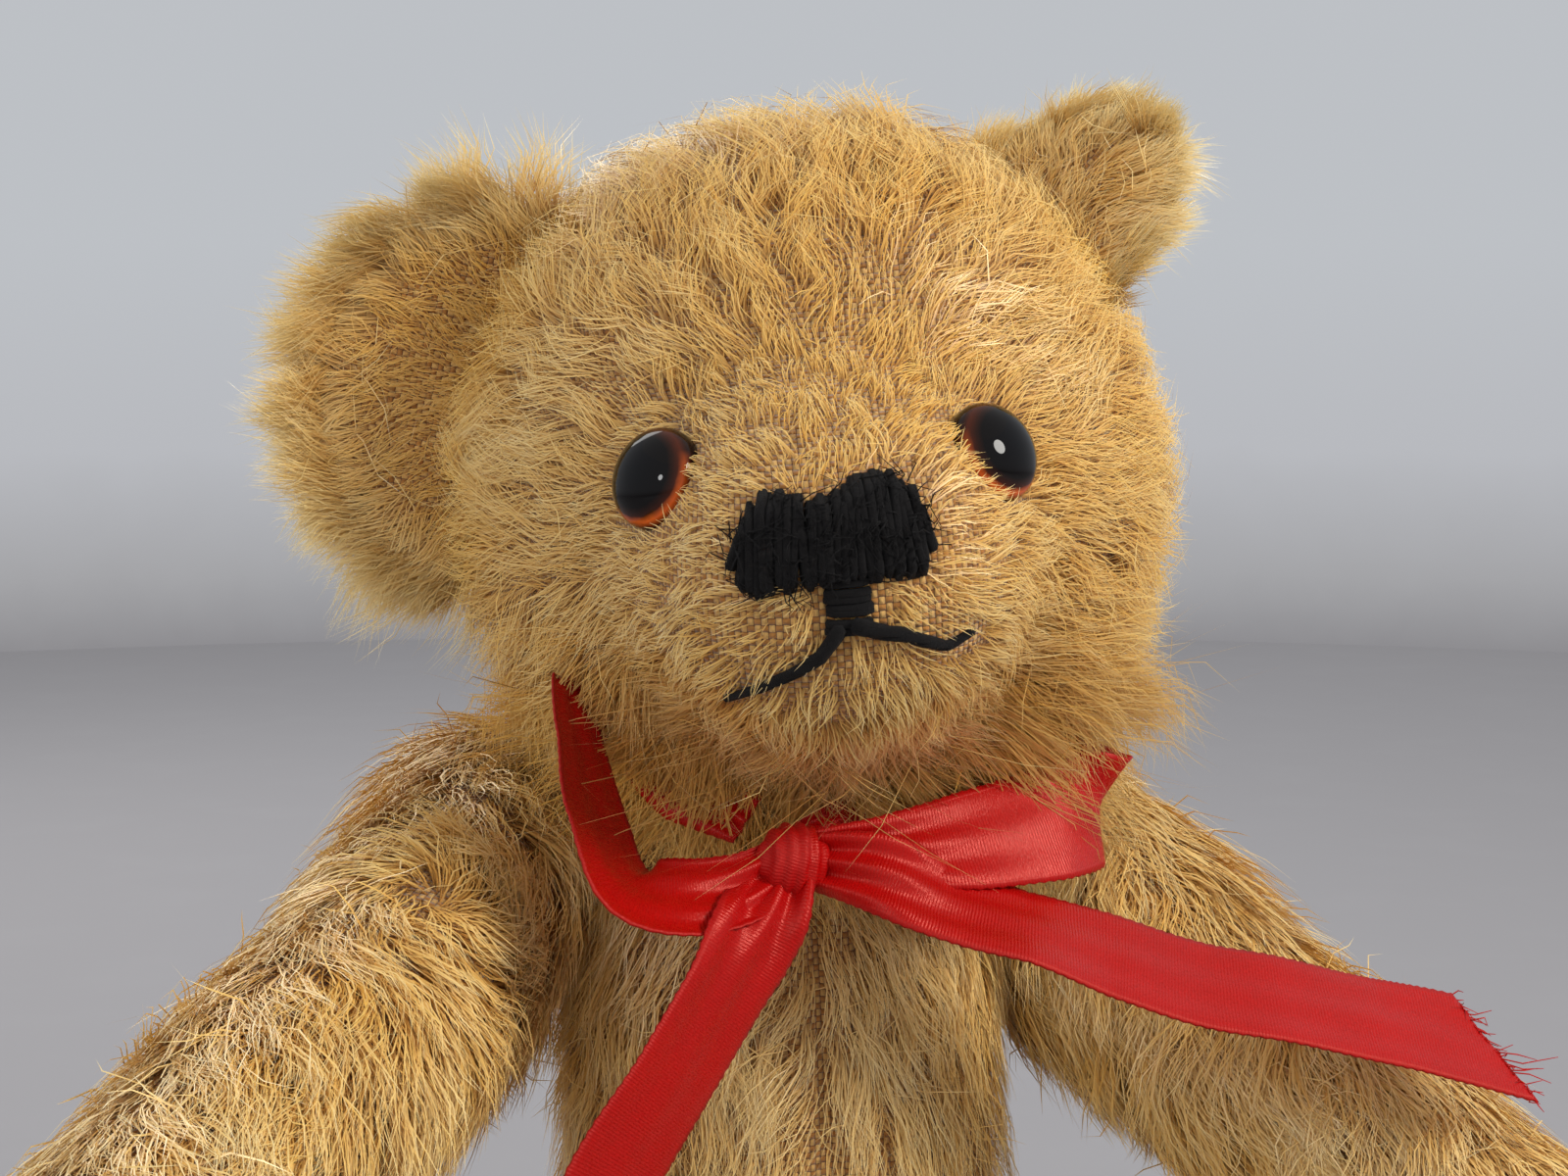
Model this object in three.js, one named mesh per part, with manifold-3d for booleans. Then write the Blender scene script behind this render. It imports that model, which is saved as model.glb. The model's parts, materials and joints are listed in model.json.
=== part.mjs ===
// A seated mohair teddy bear with disc joints at its neck, shoulders and hips, and a satin
// ribbon tied in a bow under its chin. Millimetres, Z up. The bear faces -Y and its own right
// side is at -X. The origin is the middle of the flat patch that it sits on.
import * as THREE from "three";
import { mergeVertices } from "three/addons/utils/BufferGeometryUtils.js";
import Module from "manifold-3d";

const wasm = await Module();
wasm.setup();

const DEGREE = Math.PI / 180;

// Gaps between pieces.
const FIT = {
  rest: 0.3, // a piece that rests on another, or is cut by it
  hingePlane: 0.25, // from a limb's pressed face to the joint's plane, on each side
  pin: 0.4, // round a pin in its hole
};

// The body: a stuffed bag, wider at the hips, with a slight waist.
const TORSO = {
  seatSink: 4, // how much of the round underside is pressed flat
  neckTop: 156,
  hipHalfWidth: 40,
  chestHalfWidth: 33,
  hipHalfDepth: 36,
  chestHalfDepth: 29,
  bluntness: 0.5,
  waistDepth: 3.5,
  waistHeight: 88,
  waistSpread: 22,
};

// The head: an ellipsoid with a blunt muzzle and full cheeks, measured from its own middle.
const HEAD = {
  halfWidth: 43.5,
  halfDepth: 40,
  halfHeight: 43,
  sideShift: 3.5,
  forward: 6,
  neckPress: 5.3, // how much of its height the neck's plane presses flat
  muzzleReach: 24,
  muzzleDrop: 12 * DEGREE,
  muzzleHalfWidth: 0.47, // as the sine of its angle from the muzzle's axis
  muzzleHalfHeight: 0.42,
  muzzleBluntness: 1.5,
  cheek: 3,
  cheekSpread: 0.55,
};
const HEAD_ABOVE_NECK = HEAD.halfHeight - HEAD.neckPress;
const CHEEK_DIRECTION = new THREE.Vector3(0.8, -0.3, -0.45).normalize();

// The neck, shoulder and hip joints: where each pivots and how its axis lies.
const NECK = { x: 5, y: -3, z: 148, tilt: -4.5 * DEGREE, turn: -14.4 * DEGREE, disc: 13 };
const SHOULDER = { x: 27.5, y: 1, z: 127, tilt: 8 * DEGREE, yaw: 10 * DEGREE, disc: 9 };
const HIP = { x: 29, y: 0, z: 26, tilt: 0, yaw: 9 * DEGREE, disc: 12 };
const SWING = {
  arm_right: 68 * DEGREE,
  arm_left: 48 * DEGREE,
  leg_right: 83 * DEGREE,
  leg_left: 83 * DEGREE,
};

// An arm, from its rounded top above the shoulder's pivot down to the paw.
const ARM = {
  rise: 21,
  reach: 105,
  inset: 11,
  lean: 40, // how far the paw stands out from the shoulder's plane
  leanPower: 1.1,
  curve: 10,
  shoulderHalfThick: 15.5,
  pawHalfThick: 12.5,
  shoulderHalfBreadth: 20,
  pawHalfBreadth: 14.5,
  bluntness: 0.45,
};

// A leg, from its rounded top above the hip's pivot down to the sole of the foot.
const LEG = {
  rise: 25,
  reach: 113,
  inset: 16,
  hipHalfThick: 21,
  ankleHalfThick: 14,
  hipHalfBreadth: 25,
  ankleHalfBreadth: 15.5,
  ankleAt: 84,
  footFrom: 78,
  footTo: 97,
  toeReach: 46,
  footHalfThick: 17,
  soleSink: 3,
  bluntness: 0.45,
};

// The ears, which the hand sewed on unevenly: "up" is above the horizontal, seen from the front.
const EAR = {
  halfChord: 24,
  height: 26,
  root: 7, // the part that is trimmed to the head
  halfThick: 2.2,
  cup: 10,
  tipBend: 4,
  back: 9,
  sink: 3,
  right: { up: 16 * DEGREE, twist: 4 * DEGREE },
  left: { up: 37 * DEGREE, twist: 26 * DEGREE },
};

const EYE = { radius: 6.2, dome: 3.6, rim: 1, yaw: 23 * DEGREE, pitch: 2.2 * DEGREE, sink: 1.2 };
const SHANK = { wire: 0.7, radius: 2 };

// The nose's satin stitch: a pad with a pinched middle, and a narrow block under it.
const NOSE = {
  pitch: -4.2 * DEGREE,
  halfWidth: 11.5,
  halfHeight: 6.5,
  waist: 0.25,
  thick: 2,
  blockPitch: -10.5 * DEGREE,
  blockHalfWidth: 2.8,
  blockHalfHeight: 3.2,
};

// The mouth's thread, whose two corners the hand stitched unevenly.
const MOUTH = {
  thread: 0.9,
  fork: -15.6 * DEGREE,
  sag: 1.5 * DEGREE,
  corners: [
    { yaw: -14 * DEGREE, pitch: -22.5 * DEGREE },
    { yaw: 14 * DEGREE, pitch: -17.5 * DEGREE },
  ],
};

// The felt pads. A paw's pad is measured in shares of the arm's unit sphere.
const FELT = { thick: 1.2, pawMiddle: -0.72, pawHalfLength: 0.24, pawHalfAngle: 40 * DEGREE, footInset: 5 };

// A joint's hardware on each side of the cover: disc, washer, and the pin's loop or bent legs.
const HARDWARE = {
  cover: 1.6,
  discThick: 2.4,
  washerRadius: 6,
  washerThick: 1,
  pinRadius: 1.5,
  loopRadius: 2.4,
  loopWire: 0.9,
  legReach: 4,
  sides: 16,
};

// The ribbon is one length: a band round the neck, two loops, two tails and the knot.
const RIBBON = {
  thick: 1,
  bandHalfWidth: 24.2,
  bandHalfDepth: 23.4,
  bandHeight: 5,
  bandDrop: 0.8, // from the neck's plane down to the band
  knot: 7,
  strap: 7,
  loop: 10,
  tail: 14,
};

const MOHAIR = { color: 0xd2a566, roughness: 0.95, metalness: 0 };
const FELT_FINISH = { color: 0xc9a878, roughness: 1, metalness: 0 };
const BLACK_WOOL = { color: 0x17171a, roughness: 0.9, metalness: 0 };
const AMBER_GLASS = { color: 0x6b2a0a, roughness: 0.08, metalness: 0 };
const RED_SATIN = { color: 0xb81820, roughness: 0.4, metalness: 0 };
const HARDBOARD = { color: 0x7a5a3c, roughness: 0.85, metalness: 0 };
const STEEL = { color: 0x8f8f8c, roughness: 0.45, metalness: 1 };

// Turns a closed three.js geometry into a solid for cutting and joining.
function solidOf(geometry) {
  const bare = geometry.clone();
  bare.deleteAttribute("normal");
  bare.deleteAttribute("uv");
  const merged = mergeVertices(bare, 1e-3);
  return new wasm.Manifold(
    new wasm.Mesh({
      numProp: 3,
      vertProperties: merged.attributes.position.array,
      triVerts: new Uint32Array(merged.index.array),
    }),
  );
}

// Turns a solid back into a three.js geometry.
function geometryOf(solid) {
  const mesh = solid.getMesh();
  const geometry = new THREE.BufferGeometry();
  geometry.setAttribute("position", new THREE.BufferAttribute(mesh.vertProperties, 3));
  geometry.setIndex(new THREE.BufferAttribute(mesh.triVerts, 1));
  geometry.computeVertexNormals();
  return geometry;
}

// Joins the first solid with the rest.
function joined(first, ...others) {
  return others.reduce((sum, other) => sum.add(other), first);
}

// A round form: each point of a unit sphere, poles on Z, is moved to its place by a formula.
function softForm(columns, rows, place) {
  const geometry = new THREE.SphereGeometry(1, columns, rows);
  const position = geometry.attributes.position;
  const point = new THREE.Vector3();
  for (let i = 0; i < position.count; i += 1) {
    point.fromBufferAttribute(position, i);
    point.set(point.x, -point.z, point.y);
    place(point);
    position.setXYZ(i, point.x, point.y, point.z);
  }
  return geometry;
}

// Presses a point back onto a plane where it lies beyond it.
function press(point, plane) {
  const beyond = plane.distanceToPoint(point);
  if (beyond > 0) point.addScaledVector(plane.normal, -beyond);
}

// How much wider than a sphere a blunt-ended form is, at a point of the unit sphere.
function fullness(point, bluntness) {
  return Math.max(Math.hypot(point.x, point.y), 1e-6) ** (bluntness - 1);
}

// The frame of a joint: its pivot on the torso, and its axis along the frame's own X, or Z for
// the neck. The right side is the left side's mirror image.
function limbFrame(joint, side) {
  const frame = new THREE.Group();
  frame.position.set(side * joint.x, joint.y, joint.z);
  frame.rotation.set(0, -side * joint.tilt, side * joint.yaw, "ZYX");
  frame.scale.set(side, 1, 1);
  frame.updateMatrixWorld(true);
  return frame;
}

function neckFrame() {
  const frame = new THREE.Group();
  frame.position.set(NECK.x, NECK.y, NECK.z);
  frame.rotation.set(0, NECK.tilt, 0);
  frame.updateMatrixWorld(true);
  return frame;
}

// The plane where a limb or the head meets the torso, facing away from the torso and set back
// from the joint's middle plane.
function hingePlane(frame, axis, setBack) {
  const normal = axis.clone().transformDirection(frame.matrixWorld);
  const middle = new THREE.Vector3().setFromMatrixPosition(frame.matrixWorld);
  return new THREE.Plane().setFromNormalAndCoplanarPoint(
    normal,
    middle.addScaledVector(normal, -setBack),
  );
}

const AXIS_X = new THREE.Vector3(1, 0, 0);
const AXIS_Z = new THREE.Vector3(0, 0, 1);

const joints = {
  neck: { frame: neckFrame(), axis: AXIS_Z, ...NECK },
};
for (const [name, side] of [["right", -1], ["left", 1]]) {
  joints[`shoulder_${name}`] = { frame: limbFrame(SHOULDER, side), axis: AXIS_X, ...SHOULDER };
  joints[`hip_${name}`] = { frame: limbFrame(HIP, side), axis: AXIS_X, ...HIP };
}

// A lathe about a joint's axis, from a profile of [radius, distance along the axis].
function turned(profile, axis) {
  const points = profile.map(([radius, along]) => new THREE.Vector2(radius, along));
  const geometry = new THREE.LatheGeometry(points, HARDWARE.sides);
  if (axis === AXIS_X) return geometry.rotateZ(-Math.PI / 2);
  return geometry.rotateX(Math.PI / 2);
}

// Distances from the joint's middle plane to each piece of hardware on one side.
const LAYER = {};
LAYER.pocket = FIT.hingePlane + HARDWARE.cover;
LAYER.disc = LAYER.pocket + FIT.rest;
LAYER.discBack = LAYER.disc + HARDWARE.discThick;
LAYER.washer = LAYER.discBack + FIT.rest;
LAYER.washerBack = LAYER.washer + HARDWARE.washerThick;
LAYER.loop = LAYER.washerBack + FIT.rest;
LAYER.loopBack = LAYER.loop + 2 * (HARDWARE.loopRadius + HARDWARE.loopWire);

// The hollow in the stuffing that holds one side of a joint, open through the pin's hole.
function pocket(joint, direction) {
  const hole = HARDWARE.pinRadius + FIT.pin;
  const washer = HARDWARE.washerRadius + FIT.pin;
  const disc = joint.disc + FIT.pin;
  const profile = [
    [0, -1],
    [hole, -1],
    [hole, LAYER.pocket],
    [disc, LAYER.pocket],
    [disc, LAYER.discBack + FIT.rest],
    [washer, LAYER.discBack + FIT.rest],
    [washer, LAYER.loopBack + FIT.rest],
    [0, LAYER.loopBack + FIT.rest],
  ];
  return turnedToward(profile, joint.axis, direction);
}

// A turned solid that lies on the limb's side (direction 1) or the torso's side (-1).
function turnedToward(profile, axis, direction) {
  if (direction > 0) return turned(profile, axis);
  const mirrored = profile.map(([radius, along]) => [radius, -along]).reverse();
  return turned(mirrored, axis);
}

// A flat ring with a hole for the pin.
function ring(radius, from, to, axis, direction) {
  const hole = HARDWARE.pinRadius + FIT.pin;
  const profile = [
    [hole, from],
    [radius, from],
    [radius, to],
    [hole, to],
    [hole, from],
  ];
  return turnedToward(profile, axis, direction);
}

// A split pin: a wire loop on the limb's side, a shank through both discs, and two legs bent
// back over the washer on the torso's side.
function splitPin(axis) {
  const { pinRadius, loopRadius, loopWire, legReach } = HARDWARE;
  const shankFrom = -(LAYER.washerBack + FIT.rest + loopWire);
  const shankTo = LAYER.loop + loopWire;
  const shank = turned([[0, shankFrom], [pinRadius, shankFrom], [pinRadius, shankTo], [0, shankTo]], axis);
  const loop = new THREE.TorusGeometry(loopRadius, loopWire, 6, 10);
  const legs = [-1, 1].map((way) => {
    const path = new THREE.CatmullRomCurve3([
      new THREE.Vector3(way * 0.4, 0, 1),
      new THREE.Vector3(way * 0.8, 0, -1.4),
      new THREE.Vector3(way * 2.2, 0, -2.4),
      new THREE.Vector3(way * legReach, 0, -1.4),
      new THREE.Vector3(way * (legReach + 0.6), 0, 0),
    ]);
    const section = new THREE.Shape().absarc(0, 0, loopWire, 0, 2 * Math.PI);
    const leg = new THREE.ExtrudeGeometry(section, {
      steps: 6,
      curveSegments: 6,
      bevelEnabled: false,
      extrudePath: path,
    });
    return leg;
  });
  // The loop and legs are drawn along Z, then turned onto the joint's axis.
  loop.rotateX(Math.PI / 2).translate(0, 0, LAYER.loop + loopRadius + loopWire);
  for (const leg of legs) leg.translate(0, 0, shankFrom + loopWire);
  if (axis === AXIS_X) [loop, ...legs].forEach((piece) => piece.rotateY(Math.PI / 2));
  return geometryOf(joined(...[shank, loop, ...legs].map(solidOf)));
}

// The distance from the head's middle to its cover, in a given direction.
function headRadius(direction) {
  const { x, y, z } = direction;
  const shell = 1 / Math.hypot(x / HEAD.halfWidth, y / HEAD.halfDepth, z / HEAD.halfHeight);
  const ahead = -y * Math.cos(HEAD.muzzleDrop) - z * Math.sin(HEAD.muzzleDrop);
  const above = z * Math.cos(HEAD.muzzleDrop) - y * Math.sin(HEAD.muzzleDrop);
  const across = (x / HEAD.muzzleHalfWidth) ** 2 + (above / HEAD.muzzleHalfHeight) ** 2;
  const muzzle = ahead > 0 ? HEAD.muzzleReach * Math.exp(-(across ** HEAD.muzzleBluntness)) : 0;
  const sideways = new THREE.Vector3(Math.abs(x), y, z);
  const fromCheek = sideways.angleTo(CHEEK_DIRECTION) / HEAD.cheekSpread;
  return shell + muzzle + HEAD.cheek * Math.exp(-(fromCheek ** 2));
}

// A direction from the head's middle: yaw towards the bear's left, pitch upwards.
function headDirection(yaw, pitch) {
  return new THREE.Vector3(
    Math.sin(yaw) * Math.cos(pitch),
    -Math.cos(yaw) * Math.cos(pitch),
    Math.sin(pitch),
  );
}

// A point on the head's cover, or so far above it.
function headPoint(yaw, pitch, above = 0) {
  const direction = headDirection(yaw, pitch);
  return direction.multiplyScalar(headRadius(direction) + above);
}

// The head's round form, grown by a margin and pressed flat at the neck.
function headForm(columns, rows, margin = 0) {
  return softForm(columns, rows, (point) => {
    point.multiplyScalar(headRadius(point.clone()) + margin);
    point.z = Math.max(point.z, -HEAD_ABOVE_NECK + FIT.hingePlane);
  });
}

const HEAD_MIDDLE = new THREE.Vector3(HEAD.sideShift, -HEAD.forward, HEAD_ABOVE_NECK);

// Places a piece that faces -Y at a point of the head's cover, square to the cover there.
function faceMatrix(yaw, pitch, above) {
  const small = 0.02;
  const middle = headPoint(yaw, pitch);
  const right = headPoint(yaw + small, pitch).sub(headPoint(yaw - small, pitch)).normalize();
  const upward = headPoint(yaw, pitch + small).sub(headPoint(yaw, pitch - small)).normalize();
  const outward = right.clone().cross(upward).normalize();
  const up = outward.clone().cross(right);
  const matrix = new THREE.Matrix4().makeBasis(right, up, outward);
  return matrix.setPosition(middle.addScaledVector(outward, above));
}

// An eye: a glass dome with a low rim, its outward side on +Z.
function eyeForm() {
  const points = [[0, 0], [EYE.radius, 0], [EYE.radius, EYE.rim]];
  const steps = 4;
  for (let i = 1; i <= steps; i += 1) {
    const angle = (i / steps) * (Math.PI / 2);
    points.push([EYE.radius * Math.cos(angle), EYE.rim + EYE.dome * Math.sin(angle)]);
  }
  points[points.length - 1][0] = 0;
  return new THREE.LatheGeometry(points.map(([x, y]) => new THREE.Vector2(x, y)), 16).rotateX(Math.PI / 2);
}

// The hollow behind an eye, for the eye's back and its wire shank.
function eyeSocket() {
  const wide = EYE.radius + FIT.rest;
  const narrow = SHANK.radius + SHANK.wire + FIT.rest;
  const deep = -FIT.rest - 2 * (SHANK.radius + SHANK.wire) - FIT.rest - 1;
  const profile = [[0, deep], [narrow, deep], [narrow, -FIT.rest], [wide, -FIT.rest], [wide, 8], [0, 8]];
  return new THREE.LatheGeometry(profile.map(([x, y]) => new THREE.Vector2(x, y)), 20).rotateX(Math.PI / 2);
}

// The wire loop that ties an eye into the head.
function shankForm() {
  const loop = new THREE.TorusGeometry(SHANK.radius, SHANK.wire, 6, 10);
  return loop.rotateX(Math.PI / 2).translate(0, 0, -FIT.rest - SHANK.radius - SHANK.wire);
}

// An ear before it is trimmed to the head: a cupped leaf that rises along Z and faces -Y.
function earForm() {
  return softForm(16, 10, (point) => {
    const low = point.z < 0;
    const height = low ? EAR.root : EAR.height;
    const widest = low ? 1 : Math.sqrt(1 - point.z ** 2) / Math.max(Math.hypot(point.x, point.y), 1e-6);
    const x = point.x * widest * EAR.halfChord;
    const z = point.z * height;
    const cup = EAR.cup * (x / EAR.halfChord) ** 2 + EAR.tipBend * Math.max(point.z, 0) ** 2;
    point.set(x, point.y * 2 * EAR.halfThick - cup, z);
  });
}

// Where an ear stands on the head: on the side, a little behind its middle.
function earMatrix(side, { up, twist }) {
  const outward = new THREE.Vector3(side * Math.cos(up), 0, Math.sin(up));
  const back = new THREE.Vector3(0, 1, 0).applyAxisAngle(outward, -side * twist);
  const chord = back.clone().cross(outward);
  const matrix = new THREE.Matrix4().makeBasis(chord, back, outward);
  const reach = headRadius(outward) - EAR.sink;
  const root = outward.clone().multiplyScalar(reach);
  root.y += EAR.back;
  return matrix.setPosition(root);
}

// A low pad of stitches laid on the muzzle, with a pinched middle and blunt corners.
function stitchedPad(middlePitch, halfWidth, halfHeight, waist) {
  const cornerFill = 0.6;
  const radius = headRadius(headDirection(0, middlePitch));
  return softForm(18, 6, (point) => {
    const round = Math.hypot(point.x, point.y);
    const square = round > 0 ? round / Math.max(Math.abs(point.x), Math.abs(point.y), 1e-6) : 1;
    const fill = 1 + (square - 1) * cornerFill;
    const across = point.x * fill;
    const pinch = 1 - waist * (1 - Math.min(across ** 2, 1));
    const yaw = (across * halfWidth) / radius;
    const pitch = middlePitch + (point.y * fill * pinch * halfHeight) / radius;
    const above = FIT.rest + (point.z > 0 ? NOSE.thick * point.z ** 0.5 : 0);
    point.copy(headPoint(yaw, pitch, above));
  });
}

// The nose: its pad and the narrow block that leads down to the mouth.
function noseForm() {
  const pad = stitchedPad(NOSE.pitch, NOSE.halfWidth, NOSE.halfHeight, NOSE.waist);
  const block = stitchedPad(NOSE.blockPitch, NOSE.blockHalfWidth, NOSE.blockHalfHeight, 0);
  return geometryOf(joined(solidOf(pad), solidOf(block)));
}

// A thread laid on the head's cover through points of [yaw, pitch].
function threadForm(route, steps) {
  const above = FIT.rest + MOUTH.thread;
  const points = route.map(([yaw, pitch]) => headPoint(yaw, pitch, above));
  const section = new THREE.Shape().absarc(0, 0, MOUTH.thread, 0, 2 * Math.PI);
  return new THREE.ExtrudeGeometry(section, {
    steps,
    curveSegments: 6,
    bevelEnabled: false,
    extrudePath: new THREE.CatmullRomCurve3(points),
  });
}

// The mouth: one curved stitch to each side of the fork under the nose's block.
function mouthForm() {
  const threads = MOUTH.corners.map(({ yaw, pitch }) => {
    const middle = [yaw / 2, (MOUTH.fork + pitch) / 2 - MOUTH.sag];
    return solidOf(threadForm([[0, MOUTH.fork], middle, [yaw, pitch]], 6));
  });
  const fork = new THREE.IcosahedronGeometry(MOUTH.thread, 1);
  const place = headPoint(0, MOUTH.fork, FIT.rest + MOUTH.thread);
  fork.translate(place.x, place.y, place.z);
  return geometryOf(joined(solidOf(fork), ...threads));
}

// The torso's form, pressed flat at its seat and where the head and limbs meet it.
function torsoForm(columns, rows) {
  const planes = Object.values(joints).map(({ frame, axis }) => hingePlane(frame, axis, FIT.hingePlane));
  return softForm(columns, rows, (point) => {
    const wide = fullness(point, TORSO.bluntness);
    const rise = (point.z + 1) / 2;
    const z = THREE.MathUtils.lerp(-TORSO.seatSink, TORSO.neckTop, rise);
    const waist = TORSO.waistDepth * Math.exp(-(((z - TORSO.waistHeight) / TORSO.waistSpread) ** 2));
    const halfWidth = THREE.MathUtils.lerp(TORSO.hipHalfWidth, TORSO.chestHalfWidth, rise) - waist;
    const halfDepth = THREE.MathUtils.lerp(TORSO.hipHalfDepth, TORSO.chestHalfDepth, rise);
    point.set(point.x * wide * halfWidth, point.y * wide * halfDepth, Math.max(z, 0));
    for (const plane of planes) press(point, plane);
  });
}

// The middle and half sizes of an arm's section at a distance below its pivot.
function armSection(below) {
  const along = THREE.MathUtils.clamp(below / ARM.reach, 0, 1);
  return {
    x: ARM.inset + ARM.lean * along ** ARM.leanPower,
    y: -ARM.curve * along ** 2,
    thick: THREE.MathUtils.lerp(ARM.shoulderHalfThick, ARM.pawHalfThick, along),
    breadth: THREE.MathUtils.lerp(ARM.shoulderHalfBreadth, ARM.pawHalfBreadth, along ** 0.8),
  };
}

// The middle and half sizes of a leg's section at a distance below its pivot. The foot grows
// forward from the ankle.
function legSection(below) {
  const along = THREE.MathUtils.smoothstep(below, 0, LEG.ankleAt);
  const foot = THREE.MathUtils.smoothstep(below, LEG.footFrom, LEG.footTo);
  const thick = THREE.MathUtils.lerp(LEG.hipHalfThick, LEG.ankleHalfThick, along);
  const breadth = THREE.MathUtils.lerp(LEG.hipHalfBreadth, LEG.ankleHalfBreadth, along);
  const footHalf = (LEG.toeReach + LEG.ankleHalfBreadth) / 2;
  return {
    x: LEG.inset,
    y: -foot * (footHalf - LEG.ankleHalfBreadth),
    thick: THREE.MathUtils.lerp(thick, LEG.footHalfThick, foot),
    breadth: THREE.MathUtils.lerp(breadth, footHalf, foot),
  };
}

// A limb's point for a point of the unit sphere, pressed flat where it meets the torso.
function limbPoint(point, limb, sectionAt, tipSink) {
  const wide = fullness(point, limb.bluntness);
  const z = THREE.MathUtils.lerp(-limb.reach - tipSink, limb.rise, (point.z + 1) / 2);
  const section = sectionAt(-z);
  point.set(
    Math.max(section.x + point.x * wide * section.thick, FIT.hingePlane),
    section.y + point.y * wide * section.breadth,
    Math.max(z, -limb.reach),
  );
}

function armForm(columns, rows) {
  return softForm(columns, rows, (point) => limbPoint(point, ARM, armSection, 0));
}

function legForm(columns, rows) {
  return softForm(columns, rows, (point) => limbPoint(point, LEG, legSection, LEG.soleSink));
}

// A felt pad that lies on the palm side of the paw, following the arm's form.
function pawPadForm() {
  return softForm(16, 6, (point) => {
    const above = FIT.rest + (point.z > 0 ? FELT.thick * point.z ** 0.5 : 0);
    const height = FELT.pawMiddle + point.y * FELT.pawHalfLength;
    const around = Math.PI + point.x * FELT.pawHalfAngle;
    const ringRadius = Math.sqrt(1 - height ** 2);
    const palm = new THREE.Vector3(ringRadius * Math.cos(around), ringRadius * Math.sin(around), height);
    const normal = palm.clone();
    limbPoint(palm, ARM, armSection, 0);
    point.copy(palm).addScaledVector(normal, above);
  });
}

// A felt pad on the sole of the foot: a rounded oval plate.
function footPadForm() {
  const halfLength = (LEG.toeReach + LEG.ankleHalfBreadth) / 2 - FELT.footInset;
  const halfWidth = LEG.footHalfThick - FELT.footInset;
  const outline = new THREE.Shape().absellipse(0, 0, halfWidth, halfLength, 0, 2 * Math.PI);
  const plate = new THREE.ExtrudeGeometry(outline, {
    depth: FELT.thick,
    bevelEnabled: false,
    curveSegments: 12,
  });
  const middle = legSection(LEG.reach);
  return plate.translate(middle.x, middle.y, -LEG.reach - FIT.rest - FELT.thick);
}

// A strip of ribbon along a path, with its width laid along a direction at each point.
function stripForm(points, widths, across, steps) {
  const path = new THREE.CatmullRomCurve3(points);
  const sides = new THREE.CatmullRomCurve3(widths);
  const strip = new THREE.BoxGeometry(1, 1, 1, steps, 1, 1);
  const position = strip.attributes.position;
  for (let i = 0; i < position.count; i += 1) {
    const t = position.getX(i) + 0.5;
    const middle = path.getPoint(t);
    const side = sides.getPoint(t).normalize();
    const facing = path.getTangent(t).cross(side).normalize();
    middle.addScaledVector(side, position.getY(i) * across);
    middle.addScaledVector(facing, position.getZ(i) * RIBBON.thick);
    position.setXYZ(i, middle.x, middle.y, middle.z);
  }
  return strip;
}

const V = (x, y, z) => new THREE.Vector3(x, y, z);

// An upright tube of elliptical section in the neck's frame, centred on the torso.
function neckTube(margin, top, height, hollow) {
  const halves = [RIBBON.bandHalfWidth, RIBBON.bandHalfDepth];
  const outer = halves.map((half) => half + margin);
  const walls = halves.map((half) => half - hollow);
  const outline = new THREE.Shape().absellipse(0, 0, outer[0], outer[1], 0, 2 * Math.PI);
  outline.holes.push(new THREE.Path().absellipse(0, 0, walls[0], walls[1], 0, 2 * Math.PI));
  const tube = new THREE.ExtrudeGeometry(outline, {
    depth: height,
    bevelEnabled: false,
    curveSegments: 20,
  });
  return tube.translate(-NECK.x, -NECK.y, top - height).applyMatrix4(joints.neck.frame.matrixWorld);
}

// The groove that the ribbon presses into the torso's top edge.
function neckGroove() {
  const outward = 12;
  const below = RIBBON.bandDrop + RIBBON.bandHeight + FIT.rest;
  return neckTube(outward, RIBBON.thick, RIBBON.thick + below, RIBBON.thick + FIT.rest);
}

// A point so far out in front of the chest and so far below the neck's plane.
const onChest = (x, out, drop) => V(x, -TORSO.chestHalfDepth - out, NECK.z - drop);

const KNOT = onChest(-6, 3.5, 12);

// The points that the ribbon's free strips run through, from the knot and, for a loop, back to it.
const ROUTES = {
  strap: [
    V(0, 0.45 * RIBBON.thick - RIBBON.bandHalfDepth, NECK.z - 3.5),
    onChest(-1.5, -3, 7),
    onChest(-4, 1, 10),
    KNOT,
  ],
  rightLoop: [
    KNOT,
    onChest(-16, 10, 11),
    onChest(-27, 11, 5),
    onChest(-31, 5, 0),
    onChest(-25, 2, 4),
    onChest(-14, 1.5, 10),
    KNOT,
  ],
  leftLoop: [
    KNOT,
    onChest(8, 11, 10),
    onChest(26, 11, 7.5),
    onChest(36, 8, 7),
    onChest(26, 5, 7.5),
    onChest(8, 3, 10),
    KNOT,
  ],
  hangingTail: [
    KNOT,
    onChest(-14, 14, 18),
    onChest(-22, 18, 31),
    onChest(-30, 21, 44),
    onChest(-39, 24, 58),
  ],
  standingTail: [
    KNOT,
    onChest(8, 15, 13),
    onChest(30, 23, 20),
    onChest(58, 29, 29),
    onChest(84, 33, 37),
  ],
};

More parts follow.
